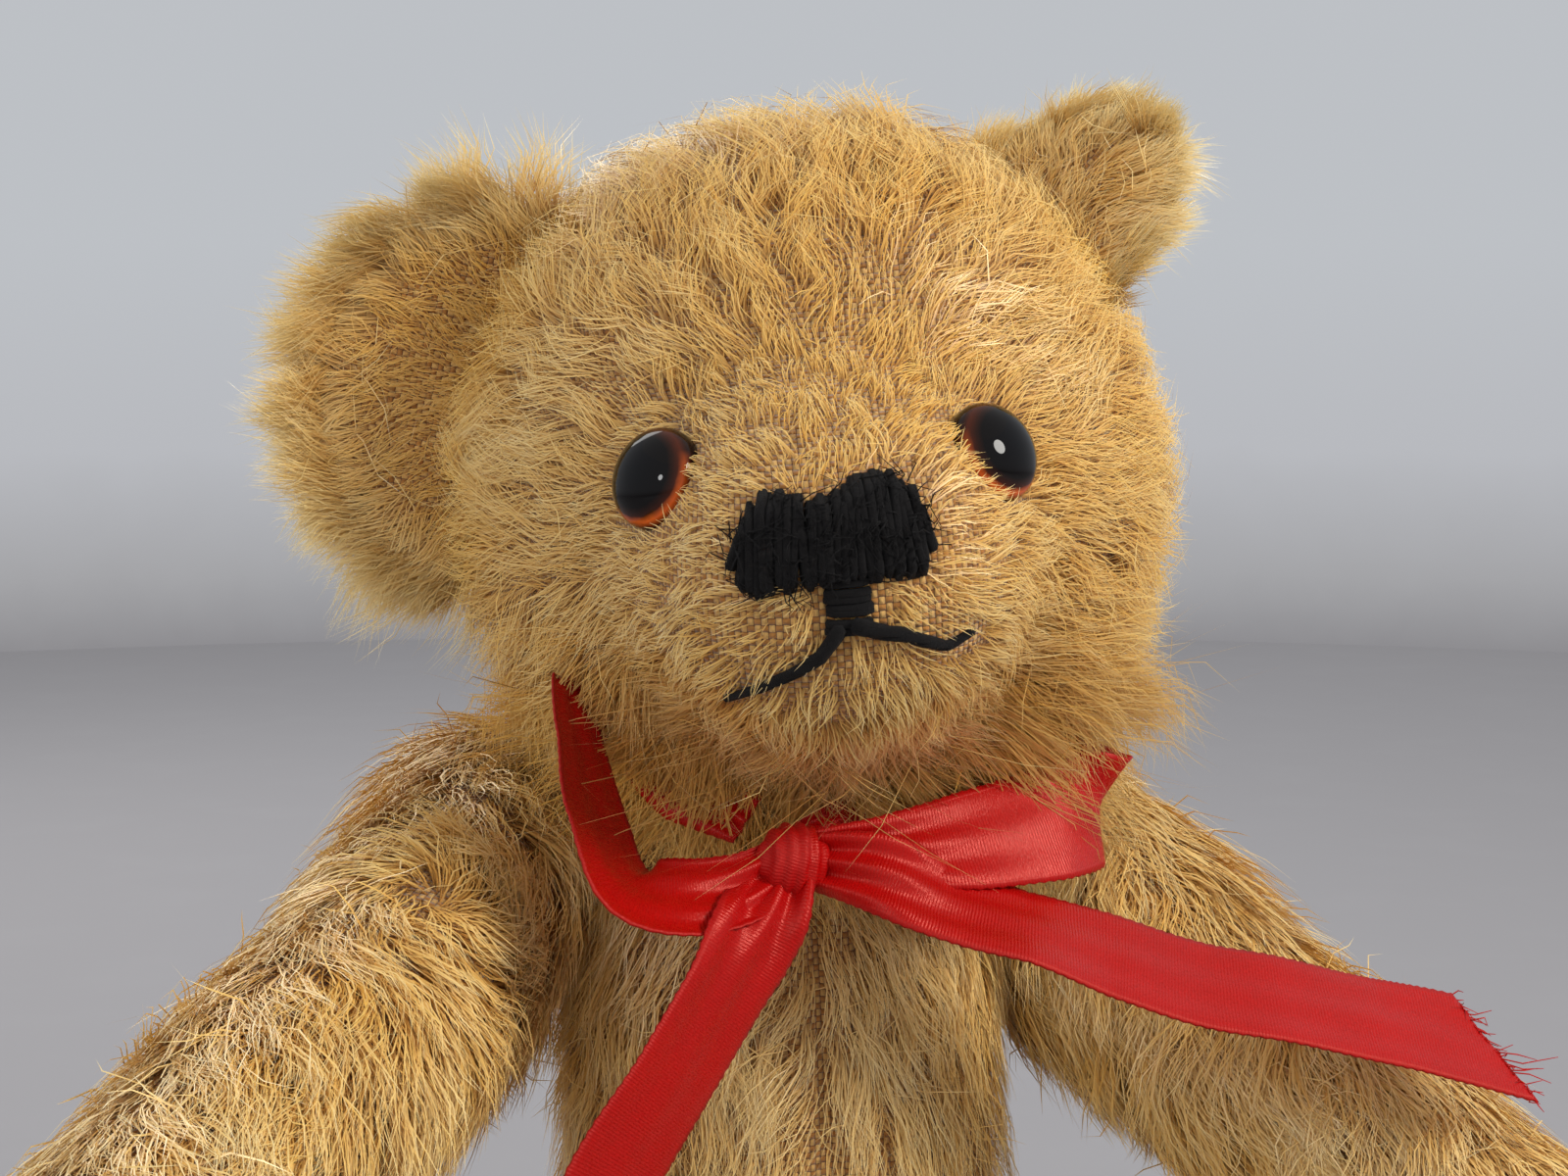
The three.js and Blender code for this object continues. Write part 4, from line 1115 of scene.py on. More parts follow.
    def lay(self, p: Array, n: Array) -> Lay:
        """The pile flows away from the nose, over the crown and down behind; short on the face, longer round it."""
        yaw, pitch, d = self.angles(p)
        from_nose = self.apart(d, 0, self.NOSE_PITCH)
        flow = unit(self.local(p) - facing(np.array(0.0), np.array(self.NOSE_PITCH)) * self.NOSE_OUT)
        flow[:, 2] -= 0.9 * smooth(from_nose, 80, 140)
        low = smooth(-pitch, 18, 42) * smooth(-d[:, 1], -0.1, 0.5)
        length = 4.4 + 5.6 * smooth(from_nose, 18, 42) + 5.4 * smooth(from_nose, 40, 80) + 12.0 * low
        under = smooth(-pitch, 26, 52) * smooth(-d[:, 1], -0.1, 0.5)
        length += 10.0 * under
        length += 1.5 * smooth(pitch, 40, 70)
        near_eye = np.minimum(*(self.apart(d, side * Eye.YAW, Eye.PITCH) for side in (-1, 1)))
        across = smooth(yaw, -2, 2)
        length += (4.5 * across - 1.2) * bump(near_eye, 16) * smooth(8 - pitch, 0, 8)
        length -= 2.5 * bump(near_eye, 14) * smooth(pitch, 6, 12)
        worn = self.worn.at(p)
        length *= 1 - 0.6 * worn
        lift = np.radians(40 + 12 * smooth(pitch, 30, 70) - 8 * low + 26 * under - 8 * smooth(from_nose, 30, 60))
        tone = 0.26 + 0.27 * bump(self.apart(d, -28, -14), 26) + 0.26 * bump(self.apart(d, 2, -34), 22)
        tone += 0.26 * smooth(pitch, 48, 72) + 0.2 * smooth(from_nose, 95, 140)
        tone += 0.16 * bump(self.apart(d, -48, 20), 22)
        tone -= 0.1 * bump(self.apart(d, 10, 26), 24)
        sway = (drift(p, 15, 81) - 0.5) * 1.3 * smooth(from_nose, 25, 60)
        flow = unit(self.aim(flow))
        flow = flow + np.cross(n, flow) * sway[:, None]
        return Lay(flow, length, lift, tone, 0.08 + 0.11 * smooth(from_nose, 25, 60))

    def make(self) -> None:
        """Puts the cover and its pile, in a front and a back half."""
        cover = self.skin.put("head_cover", self.shop.backing)
        Shop.hand_over(cover, "head", "mohair", "head")
        middle = self.world(np.array([[0.0, 0, 0]]))[0]
        ahead = self.aim(np.array([[0.0, -1, 0]]))[0]
        for word, sign, seed in (("front", 1, 11), ("back", -1, 12)):
            grower = Grower(self.shop.pile, lock=4.3, gather=0.84, droop=0.14, stray=0.5, seed=seed)

            def half(p: Array, n: Array, sign: int = sign) -> Array:
                """The density on this half only; the two halves part 4 mm behind the middle."""
                return self.share(p, n) * (((p - middle) @ ahead) * sign > -4 * sign)

            piece = grower.grow(f"head_pile_{word}", self.skin, self.strands, half, self.lay)
            Shop.hand_over(piece, "head", "mohair")


@dataclass
class Ear:
    """A cupped ear: a flattened dome whose chord bends forward at its ends, sewn to the head.

    It points up from level by `up` degrees, its back is turned by `twist`, and its root lies `sunk` in the head.
    """

    shop: Shop
    head: Head
    side: Side
    up: float
    twist: float
    chord: float = 24.0
    height: float = 26.0
    sunk: float = 3.0
    fringe: float = 15.0
    strands: int = 17000

    HALF_THICK, ROOT, BEHIND = 4.4, 7, 9.0

    def __post_init__(self) -> None:
        """Sets the ear on the head: outward from the head's middle, its back turned by the twist."""
        s = self.side.value
        outward = np.array([s * math.cos(math.radians(self.up)), 0, math.sin(math.radians(self.up))])
        back = np.array(Matrix.Rotation(math.radians(-s * self.twist), 3, outward.tolist()) @ Matrix.Identity(3).col[1])
        chord = np.cross(back, outward)
        self.frame = np.stack([chord, back, outward], axis=1)
        self.root = outward * (self.head.radius(outward[None])[0] - self.sunk) + np.array([0, self.BEHIND, 0])
        q = ball(61, 90)
        z = q[..., 2] * np.where(q[..., 2] < 0, self.ROOT, self.height)
        x = q[..., 0] * self.chord
        cup = 10 * (x / 24) ** 2 + 4 * np.maximum(q[..., 2], 0) ** 2
        own = stack(x, q[..., 1] * self.HALF_THICK - cup, z)
        self.skin = Surface(self.head.world(own @ self.frame.T + self.root))

    def own(self, points: Array) -> Array:
        """World points in the ear's frame: along the chord, backward, and out from the head."""
        return (self.head.local(points) - self.root) @ self.frame

    def parts(self, p: Array, n: Array) -> tuple[Array, Array, Array]:
        """The points in the ear's frame, how near the rim each is (0 to 1), and how much it faces the hollow."""
        own = self.own(p)
        hollow = -((n @ self.head.tilt @ self.head.turn) @ self.frame)[:, 1]
        rim = np.hypot(own[:, 0] / self.chord, np.maximum(own[:, 2], 0) / self.height)
        return own, rim, hollow

    def share(self, p: Array, n: Array) -> Array:
        """Dense at the rim and behind, thinner in the hollow, none inside the head."""
        _, rim, hollow = self.parts(p, n)
        d = self.head.local(p)
        inside = norm(d) - self.head.radius(unit(d))
        return smooth(inside, -1.0, 0.5) * (0.55 + 1.5 * smooth(rim, 0.72, 0.98) - 0.25 * smooth(hollow, 0, 0.5))

    def lay(self, p: Array, n: Array) -> Lay:
        """Outward from the seam: short in the hollow, with a darker tone there that is painted shade, and a long pale
        fringe at the rim.
        """
        own, rim, hollow = self.parts(p, n)
        flow = own * np.array([1.0, 0, 1.0]) + np.array([0, 0, 9.0])
        flow = unit(flow) @ self.frame.T
        edge = smooth(rim, 0.7, 0.98)
        inner = smooth(hollow, 0.1, 0.5)
        length = lerp(10.0, self.fringe, edge) - lerp(4.6, 2.8, self.side.value == 1) * inner * (1 - edge)
        # the darker tone in the hollow, away from the rim, is painted shade
        tone = lerp(0.4, 0.92, edge) - lerp(0.38, 0.14, self.side.value == 1) * inner * (1 - edge)
        lift = np.radians(lerp(38, 18, edge) - 14 * inner)
        sway = (drift(p, 9, 83 + self.side.value) - 0.5) * 1.4
        flow = flow + np.cross(n @ self.head.tilt @ self.head.turn, flow) * sway[:, None]
        return Lay(self.head.aim(flow), length, lift, tone, np.full(len(p), 0.13))

    def make(self) -> None:
        """Puts the ear's cover and pile."""
        word = self.side.word
        cover = self.skin.put(f"ear_{word}_cover", self.shop.backing)
        Shop.hand_over(cover, "head", "mohair", f"ear_{word}")
        grower = Grower(self.shop.pile, lock=3.4, gather=0.82, droop=0.1, stray=0.45, seed=21 + self.side.value)
        piece = grower.grow(f"ear_{word}_pile", self.skin, self.strands, self.share, self.lay)
        Shop.hand_over(piece, "head", "mohair")


# ---------------------------------------------------------------- face


@dataclass
class FaceStitching:
    """The wool nose and mouth: upright stitches within an outline, a block below, and a thread to each side."""

    shop: Shop
    head: Head

    THREAD, CROSSING, FIBRES = 0.62, 0.55, 260
    TOP = np.array([(-10.8, -4.5), (-10.1, -2.4), (-7.8, 0), (-4.5, -0.2), (-2.2, -0.9), (0.5, -0.2), (3.3, 1.4),
                    (6.2, 1.4), (8.8, -0.5), (9.7, -3.2)])
    LOW = np.array([(-10.8, -6.4), (-9.6, -9.0), (-8, -9.8), (-5.2, -9.4), (-1.7, -8.8), (3, -8.9), (6, -8.5),
                    (7.6, -9.0), (9, -7.4), (9.7, -5.6)])
    MOUTH = (np.array([(-0.3, -13.2), (-2.4, -16), (-4.6, -17.7), (-7.4, -18.9), (-10.5, -20.4), (-14.4, -23.1)]),
             np.array([(1.2, -12.8), (5.1, -14.3), (8.4, -15.8), (11.4, -16.6), (14.4, -16.1)]))

    @classmethod
    def covered(cls, yaw: Array, pitch: Array) -> Array:
        """1 where a direction on the head is under the nose or the mouth's threads, else 0."""
        top = np.interp(yaw, cls.TOP[:, 0], cls.TOP[:, 1], -99, -99)
        low = np.interp(yaw, cls.LOW[:, 0], cls.LOW[:, 1], 99, 99)
        under = (pitch < top + 0.5) & (pitch > low - 0.3)
        under |= (yaw > -1.8) & (yaw < 3.2) & (pitch < -8) & (pitch > -14)
        place = stack(yaw, pitch)
        for line in cls.MOUTH:
            for a, b in zip(line[:-1], line[1:]):
                t = np.clip((place - a) @ (b - a) / np.sum((b - a) ** 2), 0, 1)
                under |= norm(place - a - t[..., None] * (b - a)) < 1.3
        return under.astype(float)

    def thread(self, route: Array, above: Array, thick: Array, rounds: int = 6) -> Part:
        """A thread along directions on the head, with its middle above the cover by so much at each point."""
        path = self.head.on(route[:, 0], route[:, 1], above)
        base = self.head.on(route[:, 0], route[:, 1], above - 1.0)
        return tube(path, unit(path - base), thick, rounds)

    def bundle(self, name: str, threads: list[Part], *nodes: str) -> None:
        """Joins threads into one piece of wool on the head."""
        points, faces = joined(threads)
        Shop.hand_over(put_mesh(name, points, faces, self.shop.wool), "head", "black_wool", *nodes)

    def make(self) -> None:
        """Lays two layers of stitches on the nose, crosses the block, and adds the mouth and the loose fibres."""
        rng = np.random.default_rng(5)
        threads = []
        for layer, count, lift in ((0, 24, 0.3), (1, 26, 1.1)):
            for yaw in np.linspace(-10.4, 9.4, count):
                y = yaw + rng.normal(0, 0.12)
                top = np.interp(y, self.TOP[:, 0], self.TOP[:, 1]) + rng.normal(0, 0.22)
                low = np.interp(y, self.LOW[:, 0], self.LOW[:, 1]) + rng.normal(0, 0.22)
                lean = rng.normal(0, 0.5) - 0.08 * y
                s = np.linspace(0, 1, 11)
                route = stack(y + lean * (s - 0.5), lerp(low, top, s))
                edge = np.abs(2 * s - 1)
                crown = lift * (1 - edge ** 4) + 0.9 * layer * bump(edge - 0.78, 0.2) - 0.45 * edge ** 6
                above = crown + rng.normal(0, 0.06)
                threads.append(self.thread(route, above, np.full(11, self.THREAD + rng.normal(0, 0.04))))
        for pitch in np.linspace(-9.0, -13.6, 7):
            s = np.linspace(0, 1, 7)
            route = stack(lerp(-1.5, 2.9, s) + rng.normal(0, 0.15), pitch + rng.normal(0, 0.12) + 0 * s)
            threads.append(self.thread(route, 0.7 * (1 - (2 * s - 1) ** 4) + 0.1, np.full(7, self.CROSSING)))
        self.bundle("nose_stitches", threads, "nose_stitching")
        lines = []
        for line in self.MOUTH:
            s = np.linspace(0, 1, 16)
            route = table(s, np.linspace(0, 1, len(line)), line)
            for ply in range(3):
                off = (ply - 1) * 0.5 * (1 - 0.4 * s) * np.cos(s * 9 + ply)
                ply_route = route + stack(0.25 * off, off)
                lines.append(self.thread(ply_route, 1.1 + 0.3 * np.sin(s * 9 + ply * 2.1), lerp(0.82, 0.42, s)))
        self.bundle("mouth_threads", lines, "mouth_stitching")
        self.fuzz(rng)

    def fuzz(self, rng: np.random.Generator) -> None:
        """Loose wool fibres on the nose: thin bent threads of three points."""
        threads = []
        for _ in range(self.FIBRES):
            yaw = rng.uniform(-11, 10)
            top = np.interp(yaw, self.TOP[:, 0], self.TOP[:, 1])
            low = np.interp(yaw, self.LOW[:, 0], self.LOW[:, 1])
            pitch = lerp(low - 0.4, top + 0.4, rng.random())
            bend = rng.normal(0, 1.1, (2, 2))
            route = np.array([[yaw, pitch]]) + np.concatenate([[[0, 0]], np.cumsum(bend, axis=0)])
            rise = np.array([1.3, rng.uniform(1.9, 2.6), rng.uniform(1.9, 3.2)])
            threads.append(self.thread(route, rise, np.array([0.1, 0.085, 0.04]), 3))
        self.bundle("nose_fuzz", threads)


@dataclass
class Eye:
    """A glass eye: a shallow dome with a rounded rim, set on the cover."""

    shop: Shop
    head: Head
    side: Side
    radius: float = 6.2
    dome: float = 4.1
    rim: float = 1.0
    sink: float = 0.45

    YAW = 23.0
    PITCH = 2.2

    def make(self) -> None:
        """Turns the dome's profile: height = rim + dome sqrt(1 - (r / R)^2), and a flat back."""
        yaw, pitch, h = self.side.value * self.YAW, self.PITCH, 1.0
        at = self.head.on(yaw, pitch)
        right = unit(self.head.on(yaw + h, pitch) - self.head.on(yaw - h, pitch))
        up = self.head.on(yaw, pitch + h) - self.head.on(yaw, pitch - h)
        ahead = self.head.aim(np.array([self.side.value * 0.22, -1.0, 0.0]))
        out = unit(0.66 * unit(np.cross(right, up)) + 0.34 * ahead)
        right = unit(right - (right @ out) * out)
        up = np.cross(out, right)
        s = np.linspace(0, math.pi / 2, 25)
        r = np.concatenate([np.sin(s) * self.radius, [self.radius, self.radius * 0.96, 0]])
        z = np.concatenate([self.rim + np.cos(s) * self.dome, [self.rim * 0.4, 0.0, 0.0]]) - self.sink
        turn = turns(64)[None, :, None]
        ring = np.cos(turn) * right + np.sin(turn) * up
        surface = Surface(at + r[:, None, None] * ring + z[:, None, None] * out)
        faces, _ = surface.corners()
        points = surface.vertices()
        rest = points[np.concatenate([f.ravel() for f in faces])] - at
        radial = norm(rest - (rest @ out)[:, None] * out) / self.radius
        # this share grows downward and to one side, and places the painted glow on the orange ring
        low = 0.5 - 0.5 * ((rest @ up) * 0.8 + (rest @ right) * 0.6 * self.side.value) / self.radius
        uv = stack(radial, low)
        piece = put_mesh(f"eye_{self.side.word}_glass", points, faces, self.shop.glass, uv)
        Shop.hand_over(piece, "head", "eye_glass", f"eye_{self.side.word}")


# ---------------------------------------------------------------- body and limbs


@dataclass
class Torso:
    """The stuffed body: a blunt form with a waist, pressed flat at its seat and at the five joints."""

    shop: Shop
    strands: int = 38000

    FOOT, TOP = -4, 156
    GROOVE = (23.2, 22.4)

    def __post_init__(self) -> None:
        """Makes the skin, with the ribbon's groove round the neck and a drawn-in seam down the front.

        The form runs from below the seat to above the neck, before it is pressed flat at both.
        """
        q = ball(111, 160, blunt=True)
        rise = (q[..., 2] + 1) / 2
        z = lerp(self.FOOT, self.TOP, rise)
        waist = 3.5 * bump(z - 88, 22)
        full = fullness(q, 0.5)
        p = stack(q[..., 0] * full * (lerp(40, 33, rise) - waist), q[..., 1] * full * lerp(36, 29, rise),
                  np.maximum(z, 0))
        seam = bump(p[..., 0], 1.6) * (z > 8) * (z < 138)
        p[..., 1] -= np.sign(p[..., 1]) * 1.1 * seam
        self.joints = [Joint.neck()] + [maker(side) for maker in (Joint.shoulder, Joint.hip) for side in Side]
        for joint in self.joints:
            p = press(p, joint.at, joint.axis)
        tilt = turning("Y", NECK_TILT)
        own = (p - NECK) @ tilt + NECK * (1, 1, 0)
        reach = np.hypot(own[..., 0] / self.GROOVE[0], own[..., 1] / self.GROOVE[1])
        squeeze = np.where((own[..., 2] > -6.0) & (own[..., 2] < 0.5) & (reach > 1), 1 / np.maximum(reach, 1), 1)
        own[..., :2] *= squeeze[..., None]
        self.skin = Surface((own - NECK * (1, 1, 0)) @ tilt.T + NECK)

    def share(self, p: Array, n: Array) -> Array:
        """None at the seat, in the groove and on the flats of the joints; thin down the seam and at rubbed places."""
        keep = smooth(p[:, 2], 0.5, 3)
        for joint in self.joints:
            keep *= smooth(-((p - joint.at) @ joint.axis), 0.5, 1.6)
        keep *= smooth(NECK[2] - p[:, 2], 7.5, 9.5)
        keep *= 1 - 0.8 * bump(p[:, 0], 1.2) * (p[:, 1] < 0)
        rubbed = drift(p, 16, 31)
        return keep * (0.35 + 0.65 * smooth(rubbed, 0.25, 0.5))

    def lay(self, p: Array, n: Array) -> Lay:
        """Down the body, parted at the seam in front."""
        part = np.sign(p[:, 0]) * bump(p[:, 0], 13) * (p[:, 1] < 0)
        sway = (drift(p, 14, 33) - 0.5) * 1.1
        flow = stack(part * 0.6 + sway, 0 * part, -np.ones(len(p)))
        length = 10.0 + 3.5 * drift(p, 12, 34) - 4.0 * bump(p[:, 0], 4) * (p[:, 1] < 0)
        tone = 0.44 + 0.36 * drift(p, 20, 35)
        return Lay(flow, length, np.full(len(p), math.radians(30)), tone, np.full(len(p), 0.1))

    def make(self) -> None:
        """Puts the cover and its pile."""
        Shop.hand_over(self.skin.put("torso_cover", self.shop.backing), "torso", "mohair", "torso")
        grower = Grower(self.shop.pile, lock=4.2, gather=0.84, droop=0.12, stray=0.38, seed=41)
        Shop.hand_over(grower.grow("torso_pile", self.skin, self.strands, self.share, self.lay), "torso", "mohair")


class Limb(Enum):
    """The two kinds of limb."""

    ARM = "arm"
    LEG = "leg"


@dataclass
class StuffedLimb:
    """An arm or a leg: a blunt form along its own Z, flat where it meets the torso, swung forward on its joint."""

    shop: Shop
    kind: Limb
    side: Side
    swing: float

    PAW_MIDDLE, PAW_HALF, PAW_ROUND = -0.72, 0.24, 40.0
    ANKLE, SOLE = 15.5, 30.75

    def __post_init__(self) -> None:
        """Makes the skin, which reaches below the pivot and rises above it by so much; a leg's form sinks on a bit.

        The paw's pad lies at a middle and half height up the arm, from -1 to 1, and so many degrees to each side. A
        foot is ANKLE in half breadth at its heel's end and SOLE along the floor.
        """
        self.arm = self.kind is Limb.ARM
        self.reach, self.rise, self.sink = (105.0, 21.0, 0.0) if self.arm else (113.0, 25.0, 3.0)
        self.joint = (Joint.shoulder if self.arm else Joint.hip)(self.side)
        self.whorled = self.arm and self.side is Side.RIGHT
        frame = limb_turn(self.side, *((10, 8) if self.arm else (9, 0)))
        self.turn = frame @ np.diag([float(self.side.value), 1, 1]) @ turning("X", -self.swing)
        self.skin = Surface(self.world(self.cover(ball(121, 120, blunt=True))))

    def section(self, below: Array) -> tuple[Array, Array, Array, Array]:
        """The section's middle and half sizes (x, y, thick, breadth) at a distance below the pivot."""
        if self.arm:
            t = np.clip(below / self.reach, 0, 1)
            return 11 + 40 * t ** 1.1, -10 * t ** 2, lerp(15.5, 12.5, t), lerp(20, 14.5, t ** 0.8)
        along, foot = smooth(below, 0, 84), smooth(below, 78, 97)
        thick, breadth = lerp(21, 14, along), lerp(25, self.ANKLE, along)
        return 16 + 0 * along, -foot * (self.SOLE - self.ANKLE), lerp(thick, 17, foot), lerp(breadth, self.SOLE, foot)

    def cover(self, q: Array) -> Array:
        """The cover's point in the limb's own frame for points of the unit sphere."""
        full = fullness(q, 0.45)
        z = lerp(-self.reach - self.sink, self.rise, (q[..., 2] + 1) / 2)
        x, y, thick, breadth = self.section(-z)
        return stack(np.maximum(x + q[..., 0] * full * thick, INSET), y + q[..., 1] * full * breadth,
                     np.maximum(z, -self.reach))

    def world(self, own: Array) -> Array:
        """Points from the limb's own frame to the world."""
        return own @ self.turn.T + self.joint.at

    def share(self, p: Array, n: Array) -> Array:
        """None on the joint's flat and under the pads; thin where rubbed."""
        own = (p - self.joint.at) @ self.turn
        keep = smooth(own[:, 0], 0.6, 1.8)
        x, y, thick, breadth = self.section(-own[:, 2])
        if self.arm:
            around = np.degrees(np.arctan2(np.abs(own[:, 1] - y) / breadth, -(own[:, 0] - x) / thick))
            height = (own[:, 2] + self.reach) / (self.reach + self.rise) * 2 - 1
            pad = np.hypot(around / self.PAW_ROUND, (height - self.PAW_MIDDLE) / self.PAW_HALF)
            keep *= smooth(pad, 0.94, 1.04)
        else:
            keep *= smooth(own[:, 2], -112.6, -111)
        if self.whorled:
            keep *= 1 - 0.93 * self.worn.at(p)
        rubbed = drift(p, 15, 51 + self.side.value)
        keep *= smooth(p[:, 2], 0.25, 1.2)
        return keep * (0.62 + 0.38 * smooth(rubbed, 0.2, 0.45))

    @property
    def worn(self) -> Worn:
        """The bare patch at the top of the right arm."""
        return Worn([(VIEW.spot(self.skin, 440, 838), 6.0, 0.95)])

    def lay(self, p: Array, n: Array) -> Lay:
        """Along the limb in wavy locks, with a whorl on the front of the right arm."""
        own_flow = np.tile(np.array([0.0, 0.0, -1.0]), (len(p), 1))
        own = (p - self.joint.at) @ self.turn
        if not self.arm:
            own_flow[:, 1] -= 0.8 * smooth(-own[:, 2], 80, 100)
        sway = (drift(p, 13, 61) - 0.5) * 1.5
        flow = own_flow @ self.turn.T + np.cross(n, own_flow @ self.turn.T) * sway[:, None]
        flow[:, 2] -= 0.25
        base, curl, raised = (13.0, 0.15, 25) if self.arm else (10.5, 0.09, 6)
        length = base + 4.0 * drift(p, 14, 62)
        tone = 0.42 + 0.4 * (drift(p, 13, 63) - 0.3)
        if self.whorled:
            whorl = VIEW.spot(self.skin, 444, 922)
            away = p - whorl
            near = bump(norm(away), 17)[:, None]
            swirl = unit(np.cross(n, away)) + unit(away + 1e-6) * 0.3
            flow = lerp(unit(flow), swirl, near)
            length *= 1 - 0.25 * near[:, 0] - 0.5 * self.worn.at(p)
        x, _, thick, _ = self.section(-own[:, 2])
        outer = smooth((own[:, 0] - x) / thick, -0.1, 0.7)
        top = smooth(own[:, 2], -45, 5)
        length *= lerp(1, lerp(0.62, 1.12, outer), smooth(own[:, 2], -8, 22))
        length *= 1 - 0.18 * smooth(-own[:, 2], 50, 95)
        # a deeper tone on the top of each limb's outer side: painted shade
        tone -= 0.16 * top * outer
        lift = np.radians(27 + raised * top * outer)
        return Lay(flow, length, lift, tone, np.full(len(p), curl))

    def pad(self) -> None:
        """The felt pad: on a paw's palm side it follows the arm, and on a sole it is an oval with a round edge."""
        q = ball(25, 48)
        lens = np.where(q[..., 2] > 0, 1.2 * np.sqrt(np.abs(q[..., 2])), 0)
        if self.arm:
            height = self.PAW_MIDDLE + q[..., 1] * self.PAW_HALF
            around = math.pi + q[..., 0] * math.radians(self.PAW_ROUND)
            ring = np.sqrt(1 - height ** 2)
            palm = stack(ring * np.cos(around), ring * np.sin(around), height)
            own = self.cover(palm) + palm * (0.3 + lens)[..., None]
        else:
            flat = unit(q[..., :2]) * (1 - (1 - norm(q[..., :2])) ** 2)[..., None]
            own = stack(16 + flat[..., 0] * 12, self.ANKLE - self.SOLE + flat[..., 1] * (self.SOLE - 5),
                        -113.3 - lens)
        node = f"{'paw' if self.arm else 'foot'}_pad_{self.side.word}"
        piece = Surface(self.world(own)).put(node + "_felt", self.shop.felt)
        Shop.hand_over(piece, self.body, "felt", node)

    @property
    def body(self) -> str:
        """The name of the limb's body and of its cover's node."""
        return f"{self.kind.value}_{self.side.word}"

    def make(self) -> None:
        """Puts the cover, the pad and the pile; an arm's strands are fewer and wider, with one more point each."""
        cover = self.skin.put(self.body + "_cover", self.shop.backing)
        Shop.hand_over(cover, self.body, "mohair", self.body)
        self.pad()
        rows, width, count = (5, 0.26, 27500) if self.arm else (4, 0.24, 34000)
        grower = Grower(self.shop.pile, rows=rows, width=width, lock=4.4, gather=0.85, droop=0.1, stray=0.42,
                        seed=51 + self.side.value)
        pile = grower.grow(self.body + "_pile", self.skin, count, self.share, self.lay)
        Shop.hand_over(pile, self.body, "mohair")


# ---------------------------------------------------------------- ribbon


@dataclass
class Strip:
    """A length of ribbon: its middle line, the direction of its width, its width and its pleats, from end to end."""

    name: str
    route: list[Triple]
    across: list[Triple]
    widths: list[float]
    pleats: list[float]
    cut: float = 0.0
    thick: float = 0.34
    columns: int = 19
    step: float = 0.7
    length: float = field(init=False, default=0.0)

    FINE = 400
    PLEATS, TOOTH = 2.6, 0.014
    WAVE, WAVE_PITCH = 0.45, 11.0

    def frame(self) -> tuple[Array, Array, Array, Array]:
        """The middle line, width direction and facing at each row, and the length up to it."""
        rough, number = spline(self.route, self.FINE), np.arange(self.FINE)
        gone = np.concatenate(([0], np.cumsum(np.linalg.norm(np.diff(rough, axis=0), axis=1))))
        rows = int(gone[-1] / self.step)
        even = np.interp(np.linspace(0, gone[-1], rows), gone, number)
        path = table(even, number, rough)
        s = np.interp(even, number, np.linspace(0, 1, self.FINE))
        side = table(s, np.linspace(0, 1, len(self.across)), self.across)
        along = unit(np.gradient(path, axis=0))
        side = unit(side - dot(side, along) * along)
        return path, side, np.cross(along, side), np.linspace(0, gone[-1], rows)

    def make(self, finish: bpy.types.Material) -> bpy.types.Object:
        """Makes the ribbon as a thin closed cloth.

        A row's points lie across the width, moved along its facing by pleats, as a sine of the place across whose size
        changes along the strip, and by a slow wave. The edge is serrated, and the far end may be cut at a slant.
        """
        path, side, out, gone = self.frame()
        s = gone / gone[-1]
        w = np.interp(s, np.linspace(0, 1, len(self.widths)), self.widths)
        pleat = np.interp(s, np.linspace(0, 1, len(self.pleats)), self.pleats)
        x = np.linspace(-0.5, 0.5, self.columns)
        tooth = 1 + self.TOOTH * (-1.0) ** np.arange(len(s))[:, None] * (np.abs(x) > 0.49)
        fold = pleat[:, None] * np.sin(x[None] * 2 * math.pi * self.PLEATS + 0.9 + 1.3 * s[:, None])
        place = np.stack(np.broadcast_arrays(x[None] * 17, gone[:, None], 0.0 * x[None]), axis=-1)
        fold += self.WAVE * (drift(place, self.WAVE_PITCH, 91) - 0.5) * 2
        slant = self.cut * (x[None] + 0.5) * smooth(s, 0.7, 1.0)[:, None]
        along = unit(np.gradient(path, axis=0))
        middle = path[:, None] + side[:, None] * (x[None] * w[:, None] * tooth)[..., None]
        middle = middle + out[:, None] * fold[..., None] + along[:, None] * slant[..., None]
        half = out[:, None] * self.thick / 2
        rings = np.concatenate([middle + half, (middle - half)[:, ::-1]], axis=1)
        rows, count = rings.shape[:2]
        flat = np.stack(np.broadcast_arrays((x[None] + 0.5) * RIBBON_WIDTH, gone[:, None] + slant), axis=-1)
        flat = np.concatenate([flat, flat[:, ::-1]], axis=1).reshape(-1, 2)
        j = np.arange(self.columns - 1)
        cap = stack(j, j + 1, count - 2 - j, count - 1 - j)
        faces = np.concatenate([between(rows, count, flip=True), cap, (cap + (rows - 1) * count)[:, ::-1]])
        self.length = float(gone[-1])
        return put_mesh(self.name, rings.reshape(-1, 3), [faces], finish, flat[faces.ravel()])


